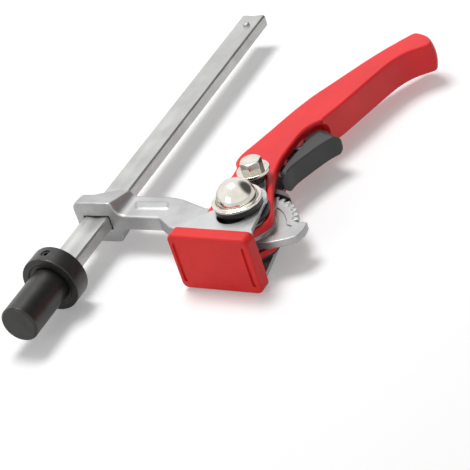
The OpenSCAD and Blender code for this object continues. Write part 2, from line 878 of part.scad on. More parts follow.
module guide_block_top() {
    color([0.07, 0.07, 0.07])
        at_foot() {
            guide_block(block_z0, block_z1);
            difference() {
                drum(block_collar_d / 2, block_z1, collar_z1);
                drum(pivot_d / 2 + run, 0, 30);
            }
        }
}

module guide_block_bottom() {
    color([0.07, 0.07, 0.07])
        at_foot()
            mirror([0, 0, 1])
                guide_block(block_z0, block_z1 - snug);
}

module side_outline() {
    r = slot_r + eye_wall;
    translate([0, slot_up])
        circle(r = r);
    polygon([[web_u0, web_v - bracket_t], [web_u1, web_v - bracket_t], [web_u1, web_v + 2],
             [web_u1 - 1.6, web_v + 3.8], [r, slot_up], [-r, slot_up], [-r - 0.6, -3],
             [-16, -7.2], [web_u0 + 1, web_v + 5.4], [web_u0, web_v + 3.6]]);
}

module slot_cut() {
    for (v = [-slot_down, slot_up])
        translate([0, v, 0])
            drum(slot_r, side_z0 - cut, side_z1 + cut);
    translate([-slot_r, -slot_down, side_z0 - cut])
        cube([2 * slot_r, slot_up + slot_down, bracket_t + 2 * cut]);
}

module foot_bracket() {
    color([0.76, 0.77, 0.77])
        at_foot()
            difference() {
                union() {
                    both_sides()
                        slab(side_z0, side_z1)
                            side_outline();
                    translate([web_u0, web_v - bracket_t, -side_z1])
                        cube([web_u1 - web_u0, bracket_t, 2 * side_z1]);
                }
                both_sides()
                    slot_cut();
                for (u = foot_rivet_u)
                    translate([u, 0, 0])
                        rotate([90, 0, 0])
                            drum(foot_rivet_r, 0, 60);
            }
}

foot_rivet_u = [web_u0 + 5, web_u1 - 5];
foot_rivet_r = 2;

module foot_pad() {
    color([0.85, 0.15, 0.15])
        at_foot()
            difference() {
                translate([-pad_shift, 0, 0])
                    along_y(face_v, rim_v)
                        rounded(pad_w, pad_h, pad_round);
                translate([web_u0, web_v - bracket_t, -side_z1])
                    cube([web_u1 - web_u0, bracket_t + pad_rim + cut, 2 * side_z1]);
                for (u = [pad_u0 + 3.4, pad_u1 - 3.4])
                    translate([u - pad_groove_w / 2, face_v - cut, -pad_groove_len / 2])
                        cube([pad_groove_w, pad_groove_d + cut, pad_groove_len]);
                for (u = foot_rivet_u)
                    translate([u, 0, 0])
                        rotate([90, 0, 0])
                            drum(foot_rivet_r, 0, -face_v - 2);
            }
}

module foot_rivets() {
    color("silver")
        at_foot()
            for (u = foot_rivet_u)
                translate([u, 0, 0])
                    rotate([90, 0, 0])
                        drum(foot_rivet_r, -web_v - 0.1, -face_v - 2.4);
}

bar();
dog_post();
tang_pin();
stop_collar();
set_screw();
end_stop_pin();
slide_arm();
brake_pins();
pivot_bushing();
pivot_bolt();
cap_nut();
handle_shell();
cheek_plate_top();
cheek_plate_bottom();
latch_bolt();
latch_washer();
rear_washer();
latch_spacer();
latch_nut();
latch_sleeve();
pawl_lever();
trigger_grip();
trigger_rivets();
pawl_spring();
guide_block_top();
guide_block_bottom();
foot_bracket();
foot_pad();
foot_rivets();
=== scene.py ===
# %% [markdown]
# # A quick release bar clamp, dressed piece by piece
# The CAD model already gives every piece its size and place, and joints move them. This lesson
# adds the edges, curves and finish of the real clamp. The first cell loads that model and
# keeps its box, because nothing made here may grow past it.

# %% Load the solid model
import math

import bmesh
import bpy
from mathutils import Matrix, Vector


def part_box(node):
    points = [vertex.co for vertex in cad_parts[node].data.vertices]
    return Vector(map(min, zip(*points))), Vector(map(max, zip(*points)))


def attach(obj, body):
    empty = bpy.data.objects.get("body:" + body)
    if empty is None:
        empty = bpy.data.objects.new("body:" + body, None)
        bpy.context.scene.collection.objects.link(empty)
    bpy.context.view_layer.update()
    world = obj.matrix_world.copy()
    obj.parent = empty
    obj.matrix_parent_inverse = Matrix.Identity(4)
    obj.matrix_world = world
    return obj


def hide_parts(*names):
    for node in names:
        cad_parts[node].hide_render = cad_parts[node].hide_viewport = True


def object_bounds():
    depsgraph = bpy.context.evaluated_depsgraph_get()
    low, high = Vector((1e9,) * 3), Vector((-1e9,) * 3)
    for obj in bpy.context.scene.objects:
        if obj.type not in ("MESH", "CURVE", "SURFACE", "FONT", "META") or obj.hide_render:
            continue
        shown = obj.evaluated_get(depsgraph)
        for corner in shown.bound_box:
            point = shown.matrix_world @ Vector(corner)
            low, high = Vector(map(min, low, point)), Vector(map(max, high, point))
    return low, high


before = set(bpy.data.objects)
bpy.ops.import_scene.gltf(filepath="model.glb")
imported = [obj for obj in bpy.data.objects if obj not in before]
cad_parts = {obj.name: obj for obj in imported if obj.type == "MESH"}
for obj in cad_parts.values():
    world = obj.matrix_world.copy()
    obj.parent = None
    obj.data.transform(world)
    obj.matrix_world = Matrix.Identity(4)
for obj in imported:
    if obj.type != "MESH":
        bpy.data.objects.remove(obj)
solid_low, solid_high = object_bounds()
MM = 0.001
print("the solid clamp, mm:", [round(v / MM, 1) for v in (*solid_low, *solid_high)])

# %% [markdown]
# Two axes carry most of the clamp: the big pivot of the handle, and the small latch pivot
# above it. Typed numbers would stay behind when the solid model changes, so both are read from
# the boxes of round pieces.

# %% Find the pivots
def middle(node):
    """Centre of a solid piece, flattened to the plane of the bar."""
    low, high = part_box(node)
    return Vector(((low.x + high.x) / 2, (low.y + high.y) / 2, 0))


AT_PIVOT = Matrix.Translation(middle("pivot_bushing"))
AT_LATCH = Matrix.Translation(middle("latch_spacer"))
FOOT_TILT = -3.6
AT_FOOT = AT_PIVOT @ Matrix.Rotation(math.radians(FOOT_TILT), 4, "Z")
LATCH = (AT_PIVOT.inverted() @ AT_LATCH).translation / MM
ALONG_BAR = Matrix.Rotation(math.radians(-90), 4, "X")
ON_EDGE = Matrix(((0, 0, 1, 0), (1, 0, 0, 0), (0, 1, 0, 0), (0, 0, 0, 1)))
print("pivot", AT_PIVOT.translation / MM, "latch from it", LATCH)

# %% [markdown]
# The handle, the arm and the foot are stacked on one bolt like slices. A height or a bore that
# several slices share gets one name here, in mm, so that no two pieces can disagree about it.
# Heights count from the middle plane of the bar.

# %% Name the shared measures
ARM_TOP = 4.2
CHEEK_IN, CHEEK_OUT = 4.6, 8.6
POCKET_FLOOR, PLATE_TOP = 6.6, 8.8
SIDE_IN, SIDE_OUT = 11.8, 14.2
BUSHING_BORE, BOLT_BORE, LATCH_BORE, SLEEVE_BORE = 7.05, 5.05, 3.05, 4.05
BRAKE_R, BRAKE_LOW, BRAKE_HIGH = 2.0, -6.7, 7.2
BRAKE_SPOTS = ((-9.8, 58.7, 0), (9.8, 64.3, 0))
SPRING_RIVET, UPPER_RIVET = (-2.2, 50.5, 0), (1, 66, 0)
print("the stack is", 2 * SIDE_OUT, "mm over the foot's sides")

# %% [markdown]
# Most outlines here were drawn as a few listed points for each bend. A Catmull-Rom curve runs
# smoothly through them, where a plain polygon would show corners. Arcs come from a formula, and
# `eased` gives every corner of a profile a small round, because no real edge is sharp.

# %% Outlines from points
def smooth(points, steps=8):
    """Points on a smooth curve through the given ones."""
    made = []
    last = len(points) - 1
    for i in range(last):
        a, b, c, d = (Vector(points[min(max(j, 0), last)]) for j in (i - 1, i, i + 1, i + 2))
        for k in range(steps):
            t = k / steps
            made.append(0.5 * (2 * b + (c - a) * t + (2 * a - 5 * b + 4 * c - d) * t * t
                               + (3 * b - a - 3 * c + d) * t ** 3))
    return [tuple(p) for p in made] + [tuple(points[-1])]


def arc(x, y, r, start, end, count=24):
    """Points on part of a circle, between two angles in degrees."""
    angles = [math.radians(start + (end - start) * k / count) for k in range(count + 1)]
    return [(x + r * math.cos(a), y + r * math.sin(a)) for a in angles]


def eased(points, radius, closed=True, steps=3):
    """The same profile with its corners rounded."""
    made = []
    count = len(points)
    for i, point in enumerate(points):
        here = Vector(point)
        if not closed and i in (0, count - 1):
            made.append(tuple(here))
            continue
        before, after = Vector(points[i - 1]) - here, Vector(points[(i + 1) % count]) - here
        p = here + before.normalized() * min(radius, before.length * 0.45)
        q = here + after.normalized() * min(radius, after.length * 0.45)
        made += [tuple(p.lerp(here, k / steps).lerp(here.lerp(q, k / steps), k / steps))
                 for k in range(steps + 1)]
    return made


print("a quarter circle has", len(arc(0, 0, 1, 0, 90)), "points")

# %% [markdown]
# Every piece ends as a plain mesh with its place in its vertices. `keep` turns whatever a
# modifier makes into such a mesh, and `soften` shades it smooth, except across real corners.
# Weighted normals make the flat faces stay flat right up to their rounded rims.

# %% Keep and soften meshes
def link(name, mesh):
    """A new object in the scene for a mesh or curve."""
    made = bpy.data.objects.new(name, mesh)
    bpy.context.scene.collection.objects.link(made)
    return made


def keep(piece):
    """Replaces a piece's mesh by the result of its modifiers."""
    graph = bpy.context.evaluated_depsgraph_get()
    mesh = bpy.data.meshes.new_from_object(piece.evaluated_get(graph))
    piece.modifiers.clear()
    piece.data = mesh
    return piece


def tidy(piece, place=None):
    """Closes seams, turns every face outwards and moves the mesh to its place."""
    shape = bmesh.new()
    shape.from_mesh(piece.data)
    bmesh.ops.remove_doubles(shape, verts=shape.verts, dist=1e-6)
    bmesh.ops.recalc_face_normals(shape, faces=shape.faces)
    shape.to_mesh(piece.data)
    shape.free()
    if place is not None:
        piece.data.transform(place)
    return piece


def soften(piece, angle=35):
    """Smooth shading with crisp corners and flat faces that stay flat."""
    piece.data.shade_smooth()
    piece.data.set_sharp_from_angle(angle=math.radians(angle))
    weigh = piece.modifiers.new("even faces", "WEIGHTED_NORMAL")
    weigh.keep_sharp = True
    return keep(piece)


def carve(piece, *tools, way="DIFFERENCE"):
    """Cuts tools out of a piece, or joins or intersects them with it."""
    for tool in tools:
        step = piece.modifiers.new("carve", "BOOLEAN")
        step.operation = way
        step.object = tool
        step.solver = "EXACT"
    keep(piece)
    for tool in tools:
        bpy.data.objects.remove(tool)
    return piece


def gather(piece, *others):
    """Puts the meshes of several pieces into the first one."""
    shape = bmesh.new()
    for one in (piece, *others):
        shape.from_mesh(one.data)
    shape.to_mesh(piece.data)
    shape.free()
    for one in others:
        bpy.data.objects.remove(one)
    return piece

# %% [markdown]
# Two ways of making a shape cover nearly all of this clamp. Sheet steel and moulded cheeks are
# flat: an outline with holes, given a thickness and a rounded rim, which a filled 2-D curve
# does by itself. Bolts, washers and the dog are turned: a profile spun round an axis.

# %% Flat pieces and turned pieces
def plate(name, outline, low, high, rim=0.0, holes=(), rounds=2):
    """A flat piece between two heights, in mm, with its rims rounded."""
    curve = bpy.data.curves.new(name, "CURVE")
    curve.dimensions = "2D"
    curve.fill_mode = "BOTH"
    curve.extrude = ((high - low) / 2 - rim) * MM
    curve.bevel_depth = rim * MM
    curve.offset = -rim * MM
    curve.bevel_resolution = rounds
    for loop in (outline, *holes):
        spline = curve.splines.new("POLY")
        spline.points.add(len(loop) - 1)
        for point, (x, y) in zip(spline.points, loop):
            point.co = (x * MM, y * MM, 0, 1)
        spline.use_cyclic_u = True
    drawn = link(name + "_drawn", curve)
    graph = bpy.context.evaluated_depsgraph_get()
    mesh = bpy.data.meshes.new_from_object(drawn.evaluated_get(graph))
    bpy.data.objects.remove(drawn)
    return tidy(link(name, mesh), Matrix.Translation((0, 0, (low + high) / 2 * MM)))


def turned(name, profile, place=None, sides=96):
    """Spins (radius, height) points round Z. It closes on the axis, or as a ring."""
    points, faces, rings = [], [], []
    for r, z in profile:
        count = sides if r > 1e-6 else 1
        rings.append([len(points) + k % count for k in range(sides + 1)])
        for k in range(count):
            a = 2 * math.pi * k / sides
            points.append((r * MM * math.cos(a), r * MM * math.sin(a), z * MM))
    if profile[0][0] > 1e-6 and profile[-1][0] > 1e-6:
        rings.append(rings[0])
    for lower, upper in zip(rings, rings[1:]):
        for k in range(sides):
            face = dict.fromkeys((lower[k], lower[k + 1], upper[k + 1], upper[k]))
            if len(face) > 2:
                faces.append(tuple(face))
    mesh = bpy.data.meshes.new(name)
    mesh.from_pydata(points, [], faces)
    return tidy(link(name, mesh), place)


def block(name, low, high):
    """A box between two corners in mm, to carve with."""
    (x0, y0, z0), (x1, y1, z1) = low, high
    return plate(name, [(x0, y0), (x1, y0), (x1, y1), (x0, y1)], z0, z1)


def rod(r, x, y, low, high, sides=64):
    """A round rod, to join on or to carve a bore with."""
    return turned("rod", [(0, low), (r, low), (r, high), (0, high)],
                  Matrix.Translation((x * MM, y * MM, 0)), sides)


def peg(name, r, low, high, ease, place=None, sides=96):
    """A rod with eased rims."""
    profile = eased([(0, low), (r, low), (r, high), (0, high)], ease, False)
    return turned(name, profile, place, sides)

# %% [markdown]
# A finish is more than a colour. Each one here has four parts: a slow mottle and a fine grain
# in the colour, roughness that follows the grain, a bump for what a finger would feel, and
# paler edges, which are partly bare from use and partly a painted highlight. The Bevel node
# finds the edges and rounds their shading, so even a cut edge catches the light.

# %% The parts of a finish
def node(tree, kind, values=None, **settings):
    """A node with its settings made and its inputs filled or linked."""
    made = tree.nodes.new(kind)
    for key, value in settings.items():
        setattr(made, key, value)
    for key, value in (values or {}).items():
        if isinstance(value, bpy.types.NodeSocket):
            tree.links.new(value, made.inputs[key])
        else:
            made.inputs[key].default_value = value
    return made


def blend(tree, factor, first, second):
    """The colour between two colours or sockets."""
    return node(tree, "ShaderNodeMix", {0: factor, 6: first, 7: second},
                data_type="RGBA").outputs[2]


def ramp(tree, value, low, high, to_low=0.0, to_high=1.0):
    """A value stretched from one range to another."""
    return node(tree, "ShaderNodeMapRange", {"Value": value, "From Min": low, "From Max": high,
                                             "To Min": to_low, "To Max": to_high}).outputs[0]


def maths(tree, operation, first, second):
    """A number worked out from two values or sockets."""
    return node(tree, "ShaderNodeMath", {0: first, 1: second}, operation=operation).outputs[0]


def finish(name, base, shade, worn_and_highlit_tone, rough, mottle=90, grain=1600, height=0.02, edge=0.35,
           wear_and_highlight=0.6, speckle=0.25, stretch=(1, 1, 1), metallic=0.0, specular=0.5):
    """A material with mottle, grain, bump, and edges paled by use and a painted highlight. Sizes
    are in mm or per metre.
    """
    material = bpy.data.materials.new(name)
    material.use_nodes = True
    tree = material.node_tree
    shader = tree.nodes["Principled BSDF"]
    shader.inputs["Metallic"].default_value = metallic
    shader.inputs["Specular IOR Level"].default_value = specular
    place = node(tree, "ShaderNodeTexCoord").outputs["Object"]
    along = node(tree, "ShaderNodeMapping", {"Vector": place, "Scale": stretch}).outputs[0]
    slow = node(tree, "ShaderNodeTexNoise",
                {"Vector": place, "Scale": mottle, "Detail": 4}).outputs[0]
    fine = node(tree, "ShaderNodeTexNoise",
                {"Vector": along, "Scale": grain, "Detail": 5, "Roughness": 0.6}).outputs[0]
    rounded = node(tree, "ShaderNodeBevel", {"Radius": edge * MM}, samples=6).outputs[0]
    plain = node(tree, "ShaderNodeNewGeometry").outputs["Normal"]
    bend = node(tree, "ShaderNodeVectorMath", {0: rounded, 1: plain},
                operation="DOT_PRODUCT").outputs["Value"]
    edge_patches = node(tree, "ShaderNodeTexNoise",
                  {"Vector": place, "Scale": 320, "Detail": 6}).outputs[0]
    # The edges get a paler tone: partly bare from use, partly a painted highlight along the rims.
    edges_rubbed_and_highlit = maths(tree, "MULTIPLY", ramp(tree, bend, 0.995, 0.9, 0, wear_and_highlight),
                   ramp(tree, edge_patches, 0.36, 0.6))
    colour = blend(tree, ramp(tree, slow, 0.35, 0.68), (*base, 1), (*shade, 1))
    colour = blend(tree, ramp(tree, fine, 0.42, 0.68, 0, speckle), colour, (*shade, 1))
    colour = blend(tree, edges_rubbed_and_highlit, colour, (*worn_and_highlit_tone, 1))
    tree.links.new(colour, shader.inputs["Base Color"])
    tree.links.new(ramp(tree, fine, 0.3, 0.7, *rough), shader.inputs["Roughness"])
    bump = node(tree, "ShaderNodeBump", {"Height": fine, "Normal": rounded, "Strength": 0.7,
                                         "Distance": height * MM}).outputs[0]
    tree.links.new(bump, shader.inputs["Normal"])
    return material

# %% [markdown]
# The metals come first. The bar and the sheet parts are zinc plated, bright but never mirror
# smooth, and rolling leaves faint streaks along the bar, so its grain is stretched. The arm is
# a zinc casting with a coarse matt skin. The dog is oiled black oxide: dark, with a soft sheen,
# and its pale edges are partly bare steel and partly a painted highlight.

# %% Metal finishes
FINISHES = {
    "plated_steel": finish("rolled bar, zinc plated", (0.5, 0.5, 0.485), (0.4, 0.4, 0.39),
                           (0.7, 0.7, 0.69), (0.28, 0.46), mottle=60, grain=900, height=0.008,
                           stretch=(1, 0.06, 1), metallic=0.85),
    "cast_zinc": finish("cast arm, tumbled zinc", (0.47, 0.47, 0.47), (0.36, 0.36, 0.36),
                        (0.75, 0.75, 0.74), (0.34, 0.54), mottle=70, grain=1100, height=0.05,
                        edge=0.6, metallic=0.75),
    "zinc_plate": finish("sheet steel, zinc plated", (0.53, 0.54, 0.54), (0.44, 0.45, 0.45),
                         (0.78, 0.79, 0.8), (0.3, 0.44), mottle=60, grain=1300, height=0.002,
                         speckle=0.12, metallic=0.8),
    # The pale rims of the dog and the collar are partly bare steel and partly a painted highlight.
    "black_oxide": finish("dog, oiled black oxide", (0.036, 0.034, 0.032), (0.022, 0.021, 0.02),
                          (0.34, 0.33, 0.31), (0.26, 0.44), mottle=120, grain=1500, height=0.012,
                          wear_and_highlight=0.75, metallic=0.35),
    "black_bolt": finish("pivot bolt, black oxide", (0.035, 0.035, 0.037), (0.02, 0.02, 0.022),
                         (0.2, 0.2, 0.2), (0.25, 0.4), height=0.008, metallic=0.4),
    "pin_steel": finish("pins, ground steel", (0.5, 0.5, 0.5), (0.38, 0.38, 0.38),
                        (0.66, 0.66, 0.66), (0.2, 0.34), grain=2200, height=0.004, metallic=0.95),
    "nickel": finish("nuts and washers, bright nickel", (0.74, 0.71, 0.64), (0.6, 0.57, 0.52),
                     (0.92, 0.9, 0.86), (0.07, 0.2), mottle=150, grain=1900, height=0.003,
                     edge=0.25, wear_and_highlight=0.4, metallic=1.0),
    "dark_steel": finish("pawl lever in hardened steel, rivets in painted shade", (0.12, 0.12, 0.12), (0.07, 0.07, 0.07),
                         (0.35, 0.34, 0.33), (0.3, 0.48), height=0.01, metallic=0.75),
}
print(len(FINISHES), "metal finishes")

# %% [markdown]
# The plastics are glass filled nylon. Their colour hardly varies, but the moulded skin has a
# fine texture that breaks up reflections, and their paler corners are partly from rubbing on a
# bench and partly a painted highlight. The pad is the softer grade, so it is rougher than the
# handle.

# %% Plastic finishes
FINISHES.update({
    "red_plastic": finish("handle, red nylon", (0.84, 0.016, 0.02), (0.74, 0.012, 0.016),
                          (0.92, 0.07, 0.06), (0.34, 0.48), mottle=45, grain=1800, height=0.012,
                          edge=0.5, wear_and_highlight=0.35, speckle=0.15, specular=0.4),
    "pad_plastic": finish("pad, red soft nylon", (0.8, 0.02, 0.018), (0.7, 0.015, 0.014),
                          (0.92, 0.07, 0.05), (0.42, 0.58), mottle=60, grain=1500, height=0.02,
                          edge=0.5, wear_and_highlight=0.35, speckle=0.2, specular=0.35),
    "grey_plastic": finish("trigger, dark grey nylon", (0.021, 0.023, 0.023), (0.015, 0.017, 0.017),
                           (0.06, 0.06, 0.06), (0.36, 0.52), grain=1700, height=0.016, wear_and_highlight=0.4),
    # The black of the guide blocks and the spacer is partly nylon and partly painted shade under
    # the cap nut and the latch washer.
    "black_plastic": finish("guides and spacer, black nylon and painted shade", (0.012, 0.012, 0.013),
                            (0.007, 0.007, 0.008), (0.05, 0.05, 0.05), (0.3, 0.46),
                            grain=1700, height=0.01, wear_and_highlight=0.4),
})
print(len(FINISHES), "finishes in all")

# %% [markdown]
# `dress` is the last thing that happens to every piece: it gets its finish, rides on the body
# that carries it, and stands in for the solid nodes it was made after.

# %% Dress a piece
def dress(piece, slot, body, *nodes):
    """Gives a finished piece its material, its body and the nodes it stands for."""
    piece.data.materials.clear()
    piece.data.materials.append(FINISHES[slot])
    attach(piece, body)
    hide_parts(*nodes)
    size = [round(v / MM, 1) for v in piece.dimensions]
    print(piece.name, "is", size, "mm with", len(piece.data.polygons), "faces")

# %% [markdown]
# ## The bar
# A rolled bar has one section all along, so its shape follows a rule: this section, swept down
# a straight line. That is a task for Geometry Nodes. The mesh holds only the section's outline,
# and the tree draws the line and sweeps. `grow` runs a tree, and sets each named input by its
# socket's identifier before anything is evaluated.

# %% Geometry Nodes helpers
def new_tree(name, **sizes):
    """An empty geometry tree with named inputs, and its two end nodes."""
    tree = bpy.data.node_groups.new(name, "GeometryNodeTree")
    tree.interface.new_socket("Geometry", in_out="INPUT", socket_type="NodeSocketGeometry")
    tree.interface.new_socket("Geometry", in_out="OUTPUT", socket_type="NodeSocketGeometry")
    for label, value in sizes.items():
        kind = {int: "Int", float: "Float", tuple: "Vector"}[type(value)]
        socket = tree.interface.new_socket(label, in_out="INPUT", socket_type="NodeSocket" + kind)
        socket.default_value = value
    given = tree.nodes.new("NodeGroupInput").outputs
    return tree, given, tree.nodes.new("NodeGroupOutput").inputs


def end_tree(tree, geometry, goal, slot):
    """Every tree ends the same way: real geometry with its material set."""
    real = node(tree, "GeometryNodeRealizeInstances", {"Geometry": geometry}).outputs[0]
    done = node(tree, "GeometryNodeSetMaterial", {"Geometry": real, "Material": FINISHES[slot]})
    tree.links.new(done.outputs[0], goal["Geometry"])


def swept(tree, path, profile):
    """The output of a node that sweeps a profile along a path and closes the ends."""
    values = {"Curve": path.outputs[0], "Profile Curve": profile.outputs[0], "Fill Caps": True}
    return node(tree, "GeometryNodeCurveToMesh", values).outputs[0]


def grow(piece, tree, **sizes):
    """Runs a tree on a piece with these sizes and keeps the plain mesh."""
    step = piece.modifiers.new(tree.name, "NODES")
    step.node_group = tree
    for item in tree.interface.items_tree:
        if item.item_type == "SOCKET" and item.in_out == "INPUT" and item.name in sizes:
            step[item.identifier] = sizes[item.name]
    return tidy(keep(piece))


def wire(name, points, closed=False):
    """A mesh of edges only, through points in mm: a path or an outline for a tree."""
    mesh = bpy.data.meshes.new(name)
    edges = [(i, i + 1) for i in range(len(points) - 1)]
    if closed:
        edges.append((len(points) - 1, 0))
    mesh.from_pydata([[v * MM for v in p] for p in points], edges, [])
    return link(name, mesh)

# %% [markdown]
# Each wide face of the bar has a shallow rolled groove. A slot with steps would catch the
# light as two hard lines, so the groove's floor follows a cosine. One quarter of the section
# is enough: the others are its mirror images.

# %% Sweep the bar
bar_low, bar_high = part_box("bar")
half_w, half_t = bar_high.x / MM, bar_high.z / MM
GROOVE_STEP, GROOVE_HALF_DEPTH, CORNER = 0.6, 0.22, 0.9
groove = [(GROOVE_STEP * k, half_t - GROOVE_HALF_DEPTH * (1 + math.cos(math.pi * k / 8)))
          for k in range(9)]
quarter = groove + [(half_w - CORNER, half_t), (half_w, half_t - CORNER)]
section = (quarter + [(x, -z) for x, z in quarter[::-1]]
           + [(-x, -z) for x, z in quarter[1:]] + [(-x, z) for x, z in quarter[:0:-1]])
sweep, given, goal = new_tree("rolled bar", start=(0.0, 0.0, 0.0), end=(0.0, 0.1, 0.0))
line = node(sweep, "GeometryNodeCurvePrimitiveLine",
            {"Start": given["start"], "End": given["end"]})
outline = node(sweep, "GeometryNodeMeshToCurve", {"Mesh": given["Geometry"]})
end_tree(sweep, swept(sweep, line, outline), goal, "plated_steel")
bar = wire("rolled_bar", [(x, z, 0) for x, z in eased(section, 0.25)], closed=True)
grow(bar, sweep, start=(0.0, bar_low.y, 0.0), end=(0.0, bar_high.y, 0.0))
soften(bar, 40)
dress(bar, "plated_steel", "frame", "bar")

# %% [markdown]
# ## The bench dog
# The dog is a turned post that drops into a round hole in the bench. It could be carved from a
# cylinder, but a spun profile gives its long bevel and its spigot in one go. The bar's slot is
# then carved out of its upper end.

# %% Turn the dog
dog = turned("bench_dog", eased([(0, -32), (8.95, -32), (9.95, -31), (9.95, 0), (9.45, 0),
                                 (9.45, 10), (0, 10)], 0.3, closed=False), ALONG_BAR)
carve(dog, block("slot", (-7.6, -14.1, -3.85), (7.6, 12, 3.85)))
dress(soften(dog), "black_oxide", "frame", "dog_post")

# %% [markdown]
# ## The stop collar
# The collar rests on the bench and stops the dog from falling through. It is a ring, so its
# profile closes on itself. A bore for the set screw is drilled from above.

# %% Turn the collar
SCREW_Y = 5.5
collar = turned("stop_ring", eased([(9.5, 0.8), (11.95, 0.8), (11.95, 0), (15.5, 0), (15.5, 11),
                                    (9.5, 11)], 0.6), ALONG_BAR, 128)
carve(collar, rod(2.5, 0, SCREW_Y, 8, 20))
dress(soften(collar), "black_oxide", "frame", "stop_collar")

# %% [markdown]
# The set screw has a hexagon socket. A hexagon is just an arc with six corners, so the same
# helper that draws circles draws it, and the socket is carved out of a turned screw.

# %% Turn the set screw
def hexagon(across, turn=0):
    """The corners of a hexagon, from its width across the flats."""
    return arc(0, 0, across / 2 / math.cos(math.radians(30)), turn, turn + 300, 5)


at_screw = Matrix.Translation((0, SCREW_Y * MM, 0))
screw = peg("socket_screw", 2.45, 9.5, 14.9, 0.4, at_screw, 48)
socket = plate("socket", hexagon(2.5), 12.7, 16)
socket.data.transform(at_screw)
carve(screw, socket)
dress(soften(screw), "black_oxide", "frame", "set_screw")

# %% [markdown]
# ## Pins and rivets
# Several pieces have the same pin in two places. One mesh is turned, and a tree puts a copy at
# every step along a line, then makes the copies real. The end stop stands alone.

# %% Repeat a pin
row, given, goal = new_tree("row of pins", count=2, step=(0.0, 0.01, 0.0))
spots = node(row, "GeometryNodeMeshLine", {"Count": given["count"], "Offset": given["step"]})
copies = node(row, "GeometryNodeInstanceOnPoints",
              {"Points": spots.outputs[0], "Instance": given["Geometry"]})
end_tree(row, copies.outputs[0], goal, "pin_steel")


def pins(name, r, low, high, spots, place=Matrix.Identity(4), turn=Matrix.Identity(4)):
    """Two like pins between two heights, at two spots in mm."""
    pin = peg(name, r, low, high, r * 0.2, turn, 32)
    first, second = spots
    step = (Vector(second) - Vector(first)) * MM
    grow(pin, row, count=2, step=tuple(step))
    pin.data.transform(place @ Matrix.Translation(Vector(first) * MM))
    return soften(pin)


stop = peg("end_stop", 2, -5.05, 5.05, 0.5, Matrix.Translation(middle("end_stop_pin")), 48)
dress(soften(stop), "pin_steel", "frame", "end_stop_pin")
dress(pins("brake_pair", BRAKE_R, BRAKE_LOW, BRAKE_HIGH, BRAKE_SPOTS),
      "pin_steel", "arm", "brake_pins")

# %% [markdown]
# ## The sliding arm
# The arm is a casting: a sleeve, a cranked web and a hub that flow into each other. The sleeve
# has sloping faces on every side. It could be pushed about vertex by vertex, but three flat
# outlines describe it better: its section, its plan and its side view, each drawn as a long
# block. Only what lies in all three blocks is kept.

# %% Rough out the sleeve
section_half = (arc(-8.25, 7.8, 4.5, 180, 90, 8)
                + [(9.3, 12.3), (10.6, 11.8), (11.5, 10.4), (12.0, 8.6), (12.6, 6.9), (13.8, 5.4),
                   (15.6, 4.5), (17.6, 4.2)])
arm = plate("cast_arm", section_half + [(x, -z) for x, z in section_half[::-1]], -70.7, -52.5,
            rim=0.3)
arm.data.transform(Matrix.Rotation(math.radians(90), 4, "X"))
plan = plate("plan", [(-20, 50), (20, 50), (20, 72), (9.4, 72), (-0.3, 67.6), (-5.1, 64),
                      (-20, 63.2)], -14, 14)
side = plate("side", [(52.4, -12.32), (70.8, -7.8), (70.8, 7.8), (52.4, 12.32)], -25, 25)
side.data.transform(ON_EDGE)
carve(arm, plan, way="INTERSECT")
carve(arm, side, way="INTERSECT")
print("the sleeve has", len(arm.data.polygons), "faces")

# %% [markdown]
# Separate blocks would show hard seams. So a voxel remesh melts the sleeve, the web and the hub
# into one skin, and a smoothing pass leaves the soft fillets of a mould. The bores are cut
# afterwards, because machining leaves crisp edges.

# %% Melt the casting and bore it
web = plate("web", [(8.75, 52.6), (37.8, 51.9), (47.3, 44.6), (62.8, 38.5), (83.8, 34.9),
                    (93.8, 62.5), (76.8, 63), (60.8, 61.2), (44.8, 68.2), (39.8, 69.6),
                    (34.8, 70.4), (8.75, 70.8)], -ARM_TOP, ARM_TOP, rim=0.6)
hub = peg("hub", 15, -ARM_TOP, ARM_TOP, 0.6, AT_PIVOT)
field = plate("field", eased([(18.0, 65.0), (36.6, 65.2), (39.4, 59.6), (20.8, 59.2)], 1.2),
              3.5, 4.75, rim=0.2)
gather(arm, web, hub, field)
melt = arm.modifiers.new("melt", "REMESH")
melt.mode = "VOXEL"
melt.voxel_size = 0.5 * MM
flow = arm.modifiers.new("flow", "SMOOTH")
flow.factor = 0.5
flow.iterations = 5
keep(arm)
pivot_x, pivot_y = AT_PIVOT.translation.xy / MM
carve(arm, block("bore", (-7.95, 50, -4.2), (7.95, 73, 4.2)), rod(7, pivot_x, pivot_y, -6, 6),
      *(rod(BRAKE_R + 0.05, x, y, -14, BRAKE_HIGH) for x, y, _ in BRAKE_SPOTS))
print("the casting has", len(arm.data.polygons), "faces")

# %% [markdown]
# The toothed sector behind the hub is what the pawl locks into. It could be drawn with all its
# teeth in one outline, but the teeth follow a rule, so they are left to a tree. What is listed
# point by point is the blank: a plate with a stop horn and a shallow field sunk in each side.

# %% Blank the sector
TOOTH_R, ROOT_R = 26.4, 24.2
FIRST_TOOTH, PITCH, TEETH = 14, 9.5, 9
SECTOR_TOP = 2
blank = plate("sector", [(5, -12.4), (17, -12.2), (25.2, -9.2), (29.6, -6.6), (31.8, -1),
                         (31.2, 4.8), (28.8, 5.6), (26.6, 4.7)]
              + arc(0, 0, ROOT_R, FIRST_TOOTH, FIRST_TOOTH + TEETH * PITCH, 42)
              + [(-6, 16), (-12, 0)], -SECTOR_TOP, SECTOR_TOP, rim=0.3)
sunk = [(0, 0), (9.3, 16.7), (11.7, 15.5), (15.6, 11.9), (19.1, 7), (21.1, 2.9), (24, 2.2),
        (24.5, -1), (23.2, -3.1), (18.4, -5.7), (12.7, -8.8)]
carve(blank, plate("sink", sunk, 1.3, 4), plate("sink", sunk, -4, -1.3))
print("the blank has", len(blank.data.polygons), "faces")

# %% [markdown]
# There is a tooth every nine and a half degrees. The tree gives each copy of one tooth its
# number times that pitch as a turn round the pivot.

